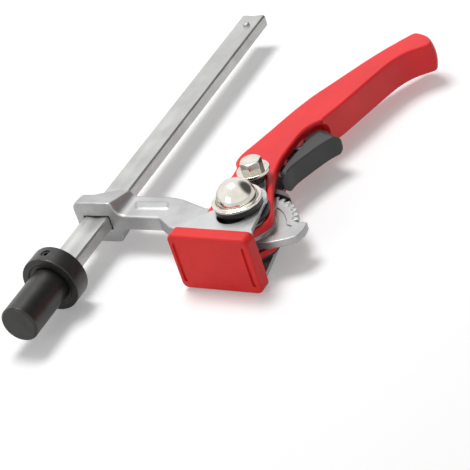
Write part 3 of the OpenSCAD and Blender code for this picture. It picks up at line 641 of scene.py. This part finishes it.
# %% Set the teeth round the sector
ring, given, goal = new_tree("teeth", count=TEETH, pitch=0.1)
points = node(ring, "GeometryNodePoints", {"Count": given["count"]})
index = node(ring, "GeometryNodeInputIndex")
angle = maths(ring, "MULTIPLY", index.outputs[0], given["pitch"])
turn = node(ring, "ShaderNodeCombineXYZ", {"Z": angle})
teeth = node(ring, "GeometryNodeInstanceOnPoints", {
    "Points": points.outputs[0], "Instance": given["Geometry"], "Rotation": turn.outputs[0]})
end_tree(ring, teeth.outputs[0], goal, "cast_zinc")
tooth = plate("teeth", arc(0, 0, ROOT_R - 1, FIRST_TOOTH + PITCH - 1, FIRST_TOOTH + 1, 2)
              + [arc(0, 0, r, FIRST_TOOTH + PITCH * part, 0, 1)[0]
                 for r, part in ((ROOT_R, 0.04), (TOOTH_R, 0.26), (TOOTH_R, 0.62), (ROOT_R, 0.96))],
              -SECTOR_TOP, SECTOR_TOP, rim=0.35)
grow(tooth, ring, count=TEETH, pitch=math.radians(PITCH))
gather(blank, tooth)
blank.data.transform(AT_PIVOT)
soften(blank, 25)
soften(arm, 50)
gather(arm, blank)
dress(arm, "cast_zinc", "arm", "slide_arm")

# %% [markdown]
# ## The pivot bolt and its cap nut
# The handle and the foot are held on this bolt. The cap nut on top is a polished dome on a
# stepped flange. A sphere on a disc would miss the steps, so the nut is spun from a profile
# with the dome's arc in it. The bolt's low round head closes the stack at the back.

# %% Turn the bolt and the cap nut
bolt = turned("pivot_screw", eased([(0, -17.1), (8.8, -17.1), (10, -16.2), (10, -14.5), (5, -14.5),
                                    (5, 22.8), (0, 22.8)], 0.4, False), AT_PIVOT)
dress(soften(bolt), "black_bolt", "arm", "pivot_bolt")
DOME_R, DOME_MIDDLE, DOME_FOOT = 10.019, 19.481, -3.54
dome = arc(0, DOME_MIDDLE, DOME_R, DOME_FOOT, 90, 28)[:-1]
flange = eased([(BOLT_BORE, 18), (12.6, 18), (12.6, 19.3), (11.0, 19.3), (10.8, 20.1), dome[0]],
               0.35, False)
nut = turned("cap_dome", [(0, 23.1), (BOLT_BORE, 23.1), (BOLT_BORE, 18)] + flange[1:-1] + dome
             + [(0, DOME_MIDDLE + DOME_R)], AT_PIVOT, 128)
dress(soften(nut, 30), "nickel", "arm", "cap_nut")

# %% [markdown]
# ## The handle
# The handle is one moulding: two cheeks that straddle the arm, joined along the outer side by
# a wall and closed at the tip. It could be built from thin walls, but it is easier to hollow a
# solid block with rounded rims from the side that faces the bar, and to put three cross ribs
# back. Below the pivot the outline is a cam: its radius grows by a fixed step for each degree,
# which is what presses the foot.

# %% Draw the handle's edges
CAM_R, CAM_RISE, CAM_FROM = 20.5, 0.08, -93.6
cam_edge = [arc(0, 0, CAM_R - CAM_RISE * (a - CAM_FROM), a, a, 1)[0]
            for a in range(-48, -151, -3)]
bar_side = smooth([(-22.2, 31), (-22.8, 41), (-25.6, 46.5), (-25.6, 53), (-23.2, 61),
                   (-18.6, 75.8), (-13.8, 92.3), (-8.5, 107), (-2.1, 120), (4.4, 133),
                   (11.1, 146), (18.3, 158), (25.9, 169)])
tip_edge = smooth([(25.9, 169), (28.9, 170.8), (35.4, 167.8), (39.9, 163), (41.2, 158.8),
                   (38.2, 156)])
outer_edge = smooth([(38.2, 156), (31.2, 150.6), (26, 142.6), (22.6, 133.4), (17.4, 116.4),
                     (12.4, 99.6), (9.4, 91.6), (7.6, 85.6)])
neck_edge = smooth([(7.6, 85.6), (5.4, 83.8), (2.7, 80), (0.4, 73), (-0.5, 61), (-0.6, 48.3),
                    (1.5, 36), (4.4, 27.3), (8, 19), (11.7, 10.8), (15.2, 3.5), (16.4, -2.5),
                    (14.4, -8)])
handle_outline = cam_edge + bar_side[:-1] + tip_edge[:-1] + outer_edge[:-1] + neck_edge
print("the handle's outline has", len(handle_outline), "points")

# %% [markdown]
# The tip swells a little where the palm rests, which an outline with a thickness can't do. So
# the block is cut into layers, and the tip's points move outwards, most in the middle layer
# and not at all at the two faces.

# %% Swell the tip
handle = plate("red_handle", handle_outline, -CHEEK_OUT, CHEEK_OUT, rim=1.3, rounds=4)
SWELL, SWELL_OVER = 1.6, 4
bulge = bmesh.new()
bulge.from_mesh(handle.data)
for height in (-5, -2.5, 0, 2.5, 5):
    bmesh.ops.bisect_plane(bulge, geom=bulge.verts[:] + bulge.edges[:] + bulge.faces[:],
                           plane_co=(0, 0, height * MM), plane_no=(0, 0, 1))
out = Vector((0.77, 0.64, 0))
for point in bulge.verts:
    reach = (point.co / MM - Vector((33, 160, 0))).dot(out)
    if reach > 0:
        middle_share = 1 - (point.co.z / MM / CHEEK_OUT) ** 2
        point.co += out * MM * SWELL * min(1, reach / SWELL_OVER) * middle_share
bulge.to_mesh(handle.data)
bulge.free()
print("the block has", len(handle.data.polygons), "faces")

# %% [markdown]
# The hollow follows the outer edge at the wall's thickness, so its outline is that edge moved
# inwards. A round arch lets the trigger in under the wall, and a pocket in each cheek takes
# its steel plate.

# %% Hollow the handle
def inside(path, width):
    """A path moved to its left by a width."""
    made = []
    for i, p in enumerate(path):
        d = Vector(path[min(i + 1, len(path) - 1)]) - Vector(path[max(i - 1, 0)])
        made.append(tuple(Vector(p) + Vector((-d.y, d.x)).normalized() * width))
    return made


WALL = 3.4
hollow = plate("hollow", [outer_edge[-1]] + inside(outer_edge[::-1], WALL)
               + [(34.6, 159.2), (36.4, 161.4), (33, 165.2), (28.2, 167), (25.9, 169), (15, 180),
                  (-50, 180), (-50, -45), (50, -45), (50, 74)], -CHEEK_IN, CHEEK_IN)
arch = rod(6.2, 0, 0, -6, 6, 48)
arch.data.transform(Matrix.Translation((6 * MM, 82.6 * MM, 0))
                    @ Matrix.Rotation(math.radians(90), 4, "Y"))
carve(handle, hollow, arch)
pocket_outline = eased([(-14, 0), (-13.2, 31), (-11.4, 34.8), (-1.6, 35), (1.4, 28), (5.6, 18.6),
                        (9.2, 10.8), (12.9, 3.4), (14.7, -2), (13.6, -7.6), (9, -12.4), (0, -14.3),
                        (-9.6, -10.6)], 1.5)
carve(handle, plate("pocket", pocket_outline, POCKET_FLOOR, 12),
      plate("pocket", pocket_outline, -12, -POCKET_FLOOR),
      rod(BUSHING_BORE, 0, 0, -20, 20), rod(LATCH_BORE, LATCH.x, LATCH.y, -20, 20))
print("the hollowed handle has", len(handle.data.polygons), "faces")

# %% [markdown]
# The ribs follow short paths across the hollow. A tree turns each edge of a small wire mesh
# into an upright wall, so all three come from the same few nodes. They and the spring's post
# reach a tenth of a millimetre into the cheeks, so that no gap shows.

# %% Put the ribs back
ribbing, given, goal = new_tree("cross ribs", thick=0.0024, high=0.0092)
paths = node(ribbing, "GeometryNodeMeshToCurve", {"Mesh": given["Geometry"]})
stamp = node(ribbing, "GeometryNodeCurvePrimitiveQuadrilateral",
             {"Width": given["thick"], "Height": given["high"]})
upright = node(ribbing, "GeometryNodeSetCurveNormal", {"Curve": paths.outputs[0]}, mode="Z_UP")
end_tree(ribbing, swept(ribbing, upright, stamp), goal, "red_plastic")
rib_mesh = bpy.data.meshes.new("cross_ribs")
rib_ends = [(6.6, 91), (-11, 92.2), (15.2, 114.8), (-1, 116.8), (24.4, 141.2), (11, 142.8)]
rib_mesh.from_pydata([(x * MM, y * MM, 0) for x, y in rib_ends], [(0, 1), (2, 3), (4, 5)], [])
ribs = grow(link("cross_ribs", rib_mesh), ribbing, thick=2.4 * MM, high=9.4 * MM)
post_end = CHEEK_IN + 0.1
gather(handle, ribs, rod(3, -18.5, 50, -post_end, post_end, 32))
handle.data.transform(AT_PIVOT)
soften(handle, 38)
dress(handle, "red_plastic", "handle", "handle_shell")

# %% [markdown]
# ## The steel cheek plates
# A stamped plate is let into each cheek, so that the two bolts bear on steel. Both plates have
# one outline. The lower one is mirrored, and then its normals are made again.

# %% Stamp the cheek plates
plate_outline = eased([(-13.5, 0), (-12.6, 30), (-11.2, 33.4), (-6, 34.8), (-3, 34), (0.4, 27.4),
                       (4.6, 18.2), (8.2, 10.4), (11.8, 3), (13.6, -2), (12.6, -7), (8.4, -11.5),
                       (0, -13.4), (-9, -10)], 1)
plate_holes = [arc(0, 0, BUSHING_BORE, 0, 354, 59), arc(LATCH.x, LATCH.y, LATCH_BORE, 0, 350, 35)]
for name, flip in (("cheek_plate_top", 1), ("cheek_plate_bottom", -1)):
    steel = plate(name.replace("cheek", "steel"), plate_outline, POCKET_FLOOR, PLATE_TOP, rim=0.25,
                  holes=plate_holes)
    tidy(steel, AT_PIVOT @ Matrix.Diagonal((1, 1, flip, 1)))
    tidy(steel)
    dress(soften(steel), "zinc_plate", "handle", name)

# %% [markdown]
# ## The latch bolt
# The trigger turns on an M6 bolt with a hexagon head. A plain six sided prism would look
# unreal: the corners of a real head are turned down to a shallow cone. Intersecting the prism
# with a spun profile does just that. The washers and the spacer are turned rings, and the nut
# is made the right way up and mirrored to the back.

# %% Make the latch hardware
ACROSS_FLATS, HEAD_TURN = 10, 42
SPACER_TOP, WASHER_TOP = 14.0, 15.6


def hexagon_head(name, low, high, bore=0.0):
    """A hexagon with its upper corners turned down, bored through if it is a nut."""
    head = plate(name, hexagon(ACROSS_FLATS, HEAD_TURN), low, high)
    crown = turned("crown", [(0, low - 1), (6.6, low - 1), (6.6, high - 1.1), (4.9, high),
                             (0, high)])
    carve(head, crown, way="INTERSECT")
    return carve(head, rod(bore, 0, 0, low - 2, high + 2)) if bore else head


def washer(name, bore, outer, low, high, place=AT_LATCH, ease=0.3):
    """A turned ring with eased corners."""
    profile = [(bore, low), (outer, low), (outer, high), (bore, high)]
    return turned(name, eased(profile, ease), place)


head = hexagon_head("latch_screw", WASHER_TOP, 21)
gather(head, peg("shank", 3, -16, 15.7, 0.6, None, 48))
head.data.transform(AT_LATCH)
dress(soften(head, 25), "nickel", "handle", "latch_bolt")
wide_washer = washer("wide_washer", LATCH_BORE, 8.5, SPACER_TOP, WASHER_TOP)
dress(soften(wide_washer), "nickel", "handle", "latch_washer")
back_washer = washer("back_washer", LATCH_BORE, 6.5, -10.4, -PLATE_TOP)
dress(soften(back_washer), "nickel", "handle", "rear_washer")
spacer = washer("black_spacer", LATCH_BORE, 4.75, PLATE_TOP, SPACER_TOP)
dress(soften(spacer), "black_plastic", "handle", "latch_spacer")
back_nut = hexagon_head("back_nut", 10.4, 15.4, LATCH_BORE)
tidy(back_nut, AT_LATCH @ Matrix.Diagonal((1, 1, -1, 1)))
tidy(back_nut)
dress(soften(back_nut, 25), "nickel", "handle", "latch_nut")

# %% [markdown]
# ## The pawl lever
# A forked lever of hardened steel straddles the sector. Its nose carries the pawl edge, cut to
# the curve of the tooth tips so that it drops square into a notch. The fork could be one block
# with a slot, but two ears from one outline are simpler, and stay alike.

# %% Blank the lever
EAR_IN, NOSE_GAP = 2.4, 0.4
ear_outline = eased([(-12.6, 32), (-10, 44), (-7, 56), (-3.6, 68), (-1, 70.6), (1.5, 71), (3.4, 69),
                     (2.2, 61), (0.9, 52), (1.2, 44), (1.6, 36.6), (3.2, 31.2), (8.6, 28.8),
                     (12.2, 26), (15.4, 22.6), (16.2, 20.2), (15.2, 19), (12, 20.8), (8, 23.2),
                     (-2, 24.6)], 1.4)
lever = plate("lever_nose", [(2.5, 30.6), (9, 28.2), (12, 26), (14.8, 22.8), (13, 17.5),
                             (3.5, 21.5), (3, 27)], -3.5, 3.5)
carve(lever, rod(TOOTH_R + NOSE_GAP, 0, 0, -10, 10))
for low, high in ((EAR_IN, ARM_TOP), (-ARM_TOP, -EAR_IN)):
    ear = plate("ear", ear_outline, low, high, rim=0.3)
    carve(ear, rod(7.2, LATCH.x, LATCH.y, low, high, 96), way="UNION")
    carve(ear, rod(SLEEVE_BORE, LATCH.x, LATCH.y, -10, 10))
    gather(lever, ear)
lever.data.transform(AT_PIVOT)
dress(soften(lever, 30), "dark_steel", "trigger", "pawl_lever")

# %% [markdown]
# ## The trigger
# The grey grip is what a finger pulls. Its curved face is wider than the room between the
# cheeks and has round ends. A rim on a plate can't make those ends, so the face is drawn as a
# plate and then intersected with a long bar of the shape that a finger sees: a stadium. The web
# behind the face moves in between the cheeks, and a thin core fills the lever's fork.

# %% Mould the trigger
FACE_HALF, END_R, LOWER_END, UPPER_END = 5.8, 5.95, 41.2, 71.6
face_curve = smooth([(3.4, 37.6), (5, 41), (6, 47.5), (8.5, 54), (11.1, 60.2), (14, 66.6),
                     (17, 71.6), (20, 75.2), (19.8, 77.2), (16.4, 79.2), (10.5, 81.4)])
face_back = [(9.6, 80.6), (7.8, 78.4), (6, 75), (4.6, 71), (3.9, 68.4), (2.7, 60), (1.6, 50),
             (1.7, 44), (2.4, 38.4)]
grip = plate("grey_trigger", face_curve + face_back, -FACE_HALF, FACE_HALF, rim=0.9, rounds=4)
stadium = plate("stadium", arc(UPPER_END, 0, END_R, -90, 90, 24)
                + arc(LOWER_END, 0, END_R, 90, 270, 24), -60, 20)
FACE_X, FACE_Y = 0.457, 0.889
stadium.data.transform(Matrix(((FACE_X, 0, FACE_Y, 0), (FACE_Y, 0, -FACE_X, 0),
                               (0, 1, 0, 0), (0, 0, 0, 1))))
carve(grip, stadium, way="INTERSECT")
web = plate("web", [(4.6, 42), (6.6, 52), (9.6, 60), (13, 67.5), (16.4, 73.4), (15, 78),
                    (10.4, 81.6), (5.6, 83), (2.8, 80.8), (1, 76.4), (1, 72.4), (4.3, 71.2),
                    (4.5, 68.4), (3.3, 60), (2.2, 50), (2.3, 44)], -ARM_TOP, ARM_TOP, rim=0.8)
core = plate("core", [(3.4, 38.6), (2.5, 44), (2.5, 52), (0.2, 56), (-3.2, 58.2), (-3.3, 66),
                      (-1, 70), (5, 75), (11, 76), (12, 70), (6, 57), (4, 46)], -2.3, 2.3, rim=0.3)
gather(grip, web, core)
grip.data.transform(AT_PIVOT)
dress(soften(grip), "grey_plastic", "trigger", "trigger_grip")
# The rivets take the dark steel so that they show as painted shade, a dark gap in the trigger.
dress(pins("lever_rivets", 1.6, -ARM_TOP, ARM_TOP, (SPRING_RIVET, UPPER_RIVET), AT_PIVOT),
      "dark_steel", "trigger", "trigger_rivets")

# %% [markdown]
# ## The pawl spring
# A small torsion spring round the lower rivet pushes the pawl into the teeth. Its wire follows
# a path, two legs and nearly three turns of a helix, and a tree gives the path its round
# section.

# %% Wind the spring
COIL_R, TURNS, END_ANGLE, COIL_HALF, STEPS = 2.65, 2.75, 83, 1.85, 88


def spring_point(angle, along, height):
    """A point at a distance along the tangent that leaves the coil at an angle."""
    a = math.radians(angle)
    return (COIL_R * math.cos(a) - along * math.sin(a), COIL_R * math.sin(a) + along * math.cos(a),
            height)


start_angle = END_ANGLE - 360 * TURNS
path = [spring_point(start_angle, along, -COIL_HALF) for along in (-8, -4)]
path += [spring_point(start_angle + 360 * TURNS * k / STEPS, 0,
                      -COIL_HALF + 2 * COIL_HALF * k / STEPS) for k in range(STEPS + 1)]
path += [spring_point(END_ANGLE, along, COIL_HALF) for along in (9, 18.5)]
winding, given, goal = new_tree("wound wire", wire=0.0007)
half_wire = maths(winding, "MULTIPLY", given["wire"], 0.5)
coil = node(winding, "GeometryNodeMeshToCurve", {"Mesh": given["Geometry"]})
bead = node(winding, "GeometryNodeCurvePrimitiveCircle",
            {"Resolution": 12, "Radius": half_wire})
end_tree(winding, swept(winding, coil, bead), goal, "pin_steel")
spring = grow(wire("pawl_coil", path), winding, wire=0.7 * MM)
spring.data.transform(AT_PIVOT @ Matrix.Translation(Vector(SPRING_RIVET) * MM))
dress(soften(spring), "pin_steel", "trigger", "pawl_spring")

# %% [markdown]
# ## The guide blocks
# Two black blocks turn on the pivot bolt and slide in the foot's slots. Each is a disc with two
# flats on a thin flange that closes the slot, and the upper one has a collar under the cap nut.

# %% Mould the guide blocks
DISC_R, FLAT_AT, GUIDE_LOW = 9.6, 8.3, 9
flat = math.degrees(math.acos(FLAT_AT / DISC_R))
disc = arc(0, 0, DISC_R, flat, 180 - flat, 20) + arc(0, 0, DISC_R, 180 + flat, 360 - flat, 20)
bore = [arc(0, 0, BOLT_BORE, 0, 350, 35)]
top_block = plate("upper_guide", disc, GUIDE_LOW, 14.5, rim=0.3, holes=bore)
gather(top_block, washer("flange", BOLT_BORE, 14, GUIDE_LOW, SIDE_IN - 0.4, None, 0.4),
       washer("collar", BOLT_BORE, 12, 14.45, 17.9, None, 0.5))
top_block.data.transform(AT_FOOT)
dress(soften(top_block), "black_plastic", "foot_guide", "guide_block_top")
low_block = plate("lower_guide", disc, -14.4, -GUIDE_LOW, rim=0.3, holes=bore)
gather(low_block, washer("flange", BOLT_BORE, 14, 0.4 - SIDE_IN, -GUIDE_LOW, None, 0.4))
low_block.data.transform(AT_FOOT)
dress(soften(low_block), "black_plastic", "foot_guide", "guide_block_bottom")

# %% [markdown]
# ## The foot bracket
# The foot is a strip of steel folded to a U. Two plates and a web stuck together would lack
# the round bends. So the folded strip comes first, as one section with bend radii pulled
# along its length, and the outline of its sides, with their slots, is then cut from it.

# %% Fold the bracket
WEB_IN, STEEL, FOLD_OUT, FOLD_IN = -21.39, 2.4, 2.6, 0.5
WEB_OUT = WEB_IN - STEEL
FOOT_LEFT, FOOT_RIGHT = -24.7, 17.7
SLOT_R, SLOT_UP, SLOT_DOWN = 8.6, 5.5, -6
channel_section = ([(-SIDE_OUT, 20)]
                   + arc(-SIDE_OUT + FOLD_OUT, WEB_OUT + FOLD_OUT, FOLD_OUT, 180, 270, 6)
                   + arc(SIDE_OUT - FOLD_OUT, WEB_OUT + FOLD_OUT, FOLD_OUT, 270, 360, 6)
                   + [(SIDE_OUT, 20), (SIDE_IN, 20)]
                   + arc(SIDE_IN - FOLD_IN, WEB_IN + FOLD_IN, FOLD_IN, 0, -90, 3)
                   + arc(-SIDE_IN + FOLD_IN, WEB_IN + FOLD_IN, FOLD_IN, -90, -180, 3)
                   + [(-SIDE_IN, 20)])
bracket = plate("folded_foot", [(v, z) for z, v in channel_section], FOOT_LEFT, FOOT_RIGHT)
bracket.data.transform(ON_EDGE)
tidy(bracket)
eye = arc(0, SLOT_UP, SLOT_R + 2.6, 0, 180, 32)
sides = ([(FOOT_LEFT, WEB_OUT), (FOOT_RIGHT, WEB_OUT), (FOOT_RIGHT, WEB_IN + 2), (16.1, -17.59)]
         + eye + [(-11.8, -3), (-16, -7.2), (-23.7, -15.99), (FOOT_LEFT, -17.79)])
slot_line = (arc(0, SLOT_UP, SLOT_R, 0, 180, 24) + arc(0, SLOT_DOWN, SLOT_R, 180, 360, 24))
carve(bracket, plate("sides", sides, -20, 20, holes=[slot_line]), way="INTERSECT")
bracket.data.transform(AT_FOOT)
dress(soften(bracket, 30), "zinc_plate", "foot", "foot_bracket")

# %% [markdown]
# ## The pad
# The red pad snaps over the web. It is a rounded block with a pocket for the steel behind and
# two short grooves in its face. Carving the pocket out of a block with rounded rims keeps the
# thin lip round the steel at one width.

# %% Mould the pad
PAD_FACE, PAD_BACK, PAD_ROUND = WEB_OUT - 5.1, WEB_IN + 0.8, 3.5
corners = ((16, 12.5, 0), (-23, 12.5, 90), (-23, -12.5, 180), (16, -12.5, 270))
pad_shape = [p for x, y, turn in corners for p in arc(x, y, PAD_ROUND, turn, turn + 90, 8)]
pad = plate("red_pad", pad_shape, PAD_FACE, PAD_BACK, rim=1.5, rounds=4)
for u in (-23.1, 16.1):
    slit = arc(u, 10.5, 1, 0, 180, 10) + arc(u, -10.5, 1, 180, 360, 10)
    carve(pad, plate("slit", slit, PAD_FACE - 3.11, PAD_FACE + 1))
carve(pad, block("pocket", (FOOT_LEFT, -SIDE_OUT, WEB_OUT), (FOOT_RIGHT, SIDE_OUT, -10)))
pad.data.transform(AT_FOOT @ ALONG_BAR)
dress(soften(pad), "pad_plastic", "foot", "foot_pad")
foot_rivets = pins("pad_rivets", 2.0, WEB_OUT - 2.7, WEB_IN + 0.1, ((-19.7, 0, 0), (12.7, 0, 0)),
                   AT_FOOT, ALONG_BAR)
dress(foot_rivets, "pin_steel", "foot", "foot_rivets")

# %% [markdown]
# ## Pieces that stay as they are
# The cross pin in the dog, the bushing and the latch sleeve are plain turned pieces, mostly
# out of sight. Their solid shapes are right already, so they only get their finish.

# %% Finish the kept pieces
for name in ("tang_pin", "pivot_bushing", "latch_sleeve"):
    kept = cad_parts[name]
    for place in kept.material_slots:
        place.material = FINISHES["pin_steel"]
    print(name, "keeps its solid shape")

# %% [markdown]
# ## Floor, light and camera
# The clamp lies on a white sweep. The floor is plain diffuse, which keeps the soft shadow, and
# rays from the camera or from shiny metal also see a little glow in it, so that it reads as
# white without more light on the clamp.

# %% Lay the floor
def studio_white(tree, lit, seen):
    """A value that is higher for rays that see the backdrop than for rays that light."""
    rays = node(tree, "ShaderNodeLightPath").outputs
    shiny = maths(tree, "MAXIMUM", rays["Is Camera Ray"], rays["Is Glossy Ray"])
    clear = maths(tree, "MAXIMUM", shiny, rays["Is Transmission Ray"])
    return ramp(tree, clear, 0, 1, lit, seen)


floor_reach = 6.0
floor_z = solid_low.z - 0.0002
floor_mesh = bpy.data.meshes.new("floor")
floor_mesh.from_pydata([(x * floor_reach, y * floor_reach, floor_z)
                        for x, y in ((-1, -1), (1, -1), (1, 1), (-1, 1))], [], [(0, 1, 2, 3)])
floor = link("floor", floor_mesh)
paper = bpy.data.materials.new("white paper")
paper.use_nodes = True
tree = paper.node_tree
sheet = tree.nodes["Principled BSDF"]
sheet.inputs["Base Color"].default_value = (0.8, 0.8, 0.8, 1)
sheet.inputs["Roughness"].default_value = 0.9
sheet.inputs["Specular IOR Level"].default_value = 0.1
sheet.inputs["Emission Color"].default_value = (1, 1, 1, 1)
tree.links.new(studio_white(tree, 0.0, 0.26), sheet.inputs["Emission Strength"])
floor_mesh.materials.append(paper)
print("the floor lies at", round(floor_z / MM, 1), "mm")

# %% [markdown]
# A studio is lit by large soft boxes, so a pale world gives even light, and two square lamps
# give the shadow and a brighter front. A polished dome in an all white room would look flat,
# so shiny surfaces also see one dark screen behind the clamp.

# %% Hang the lights
world = bpy.data.worlds.new("soft room")
bpy.context.scene.world = world
world.use_nodes = True
tree = world.node_tree
tree.links.new(studio_white(tree, 0.25, 1.2), tree.nodes["Background"].inputs["Strength"])
screen_way = Vector((0.6, 0.7, 0.38)).normalized()
way = node(tree, "ShaderNodeTexCoord").outputs["Generated"]
toward = node(tree, "ShaderNodeVectorMath", {0: way, 1: screen_way},
              operation="DOT_PRODUCT").outputs["Value"]
shiny = node(tree, "ShaderNodeLightPath").outputs["Is Glossy Ray"]
screen = maths(tree, "MULTIPLY", ramp(tree, toward, 0.72, 0.9, 0, 0.93), shiny)
tree.links.new(blend(tree, screen, (1, 1, 1, 1), (0.02, 0.02, 0.02, 1)),
               tree.nodes["Background"].inputs["Color"])


def softbox(name, at, size, power):
    """A square lamp that shines from a point, in metres, towards the clamp's middle."""
    lamp = bpy.data.lights.new(name, "AREA")
    lamp.shape = "SQUARE"
    lamp.size = size
    lamp.energy = power
    made = link(name, lamp)
    made.location = at
    made.rotation_mode = "QUATERNION"
    made.rotation_quaternion = (Vector((0.05, 0.1, 0)) - Vector(at)).to_track_quat("-Z", "Y")
    print(name, "gives", power, "W")


softbox("overhead", (-0.18, 0.28, 1.1), 0.45, 10.0)
softbox("window", (-0.35, -1.1, 0.5), 0.6, 3.4)

# %% [markdown]
# The camera stands where the photograph was taken. Its place and turn were solved from points
# on the clamp of known size, and are written out as the three directions of its own axes.

# %% Place the camera
camera = bpy.data.cameras.new("camera")
camera.sensor_fit = "HORIZONTAL"
camera.sensor_width = 36
focal_px, picture_px = 1883.32, 470
camera.lens = focal_px * camera.sensor_width / picture_px
camera.clip_start, camera.clip_end = 0.01, 20
eye_right, eye_up = Vector((0.87205, 0.40563, -0.27384)), Vector((-0.02257, 0.59227, 0.80542))
eye_back = Vector((0.48889, -0.69619, 0.52565))
shot = link("camera", camera)
shot.matrix_world = (Matrix.Translation((0.533415, -0.595378, 0.483377))
                     @ Matrix((eye_right, eye_up, eye_back)).transposed().to_4x4())
bpy.context.scene.camera = shot
bpy.context.scene.view_settings.view_transform = "Standard"
print("camera at", [round(v, 3) for v in shot.matrix_world.translation])
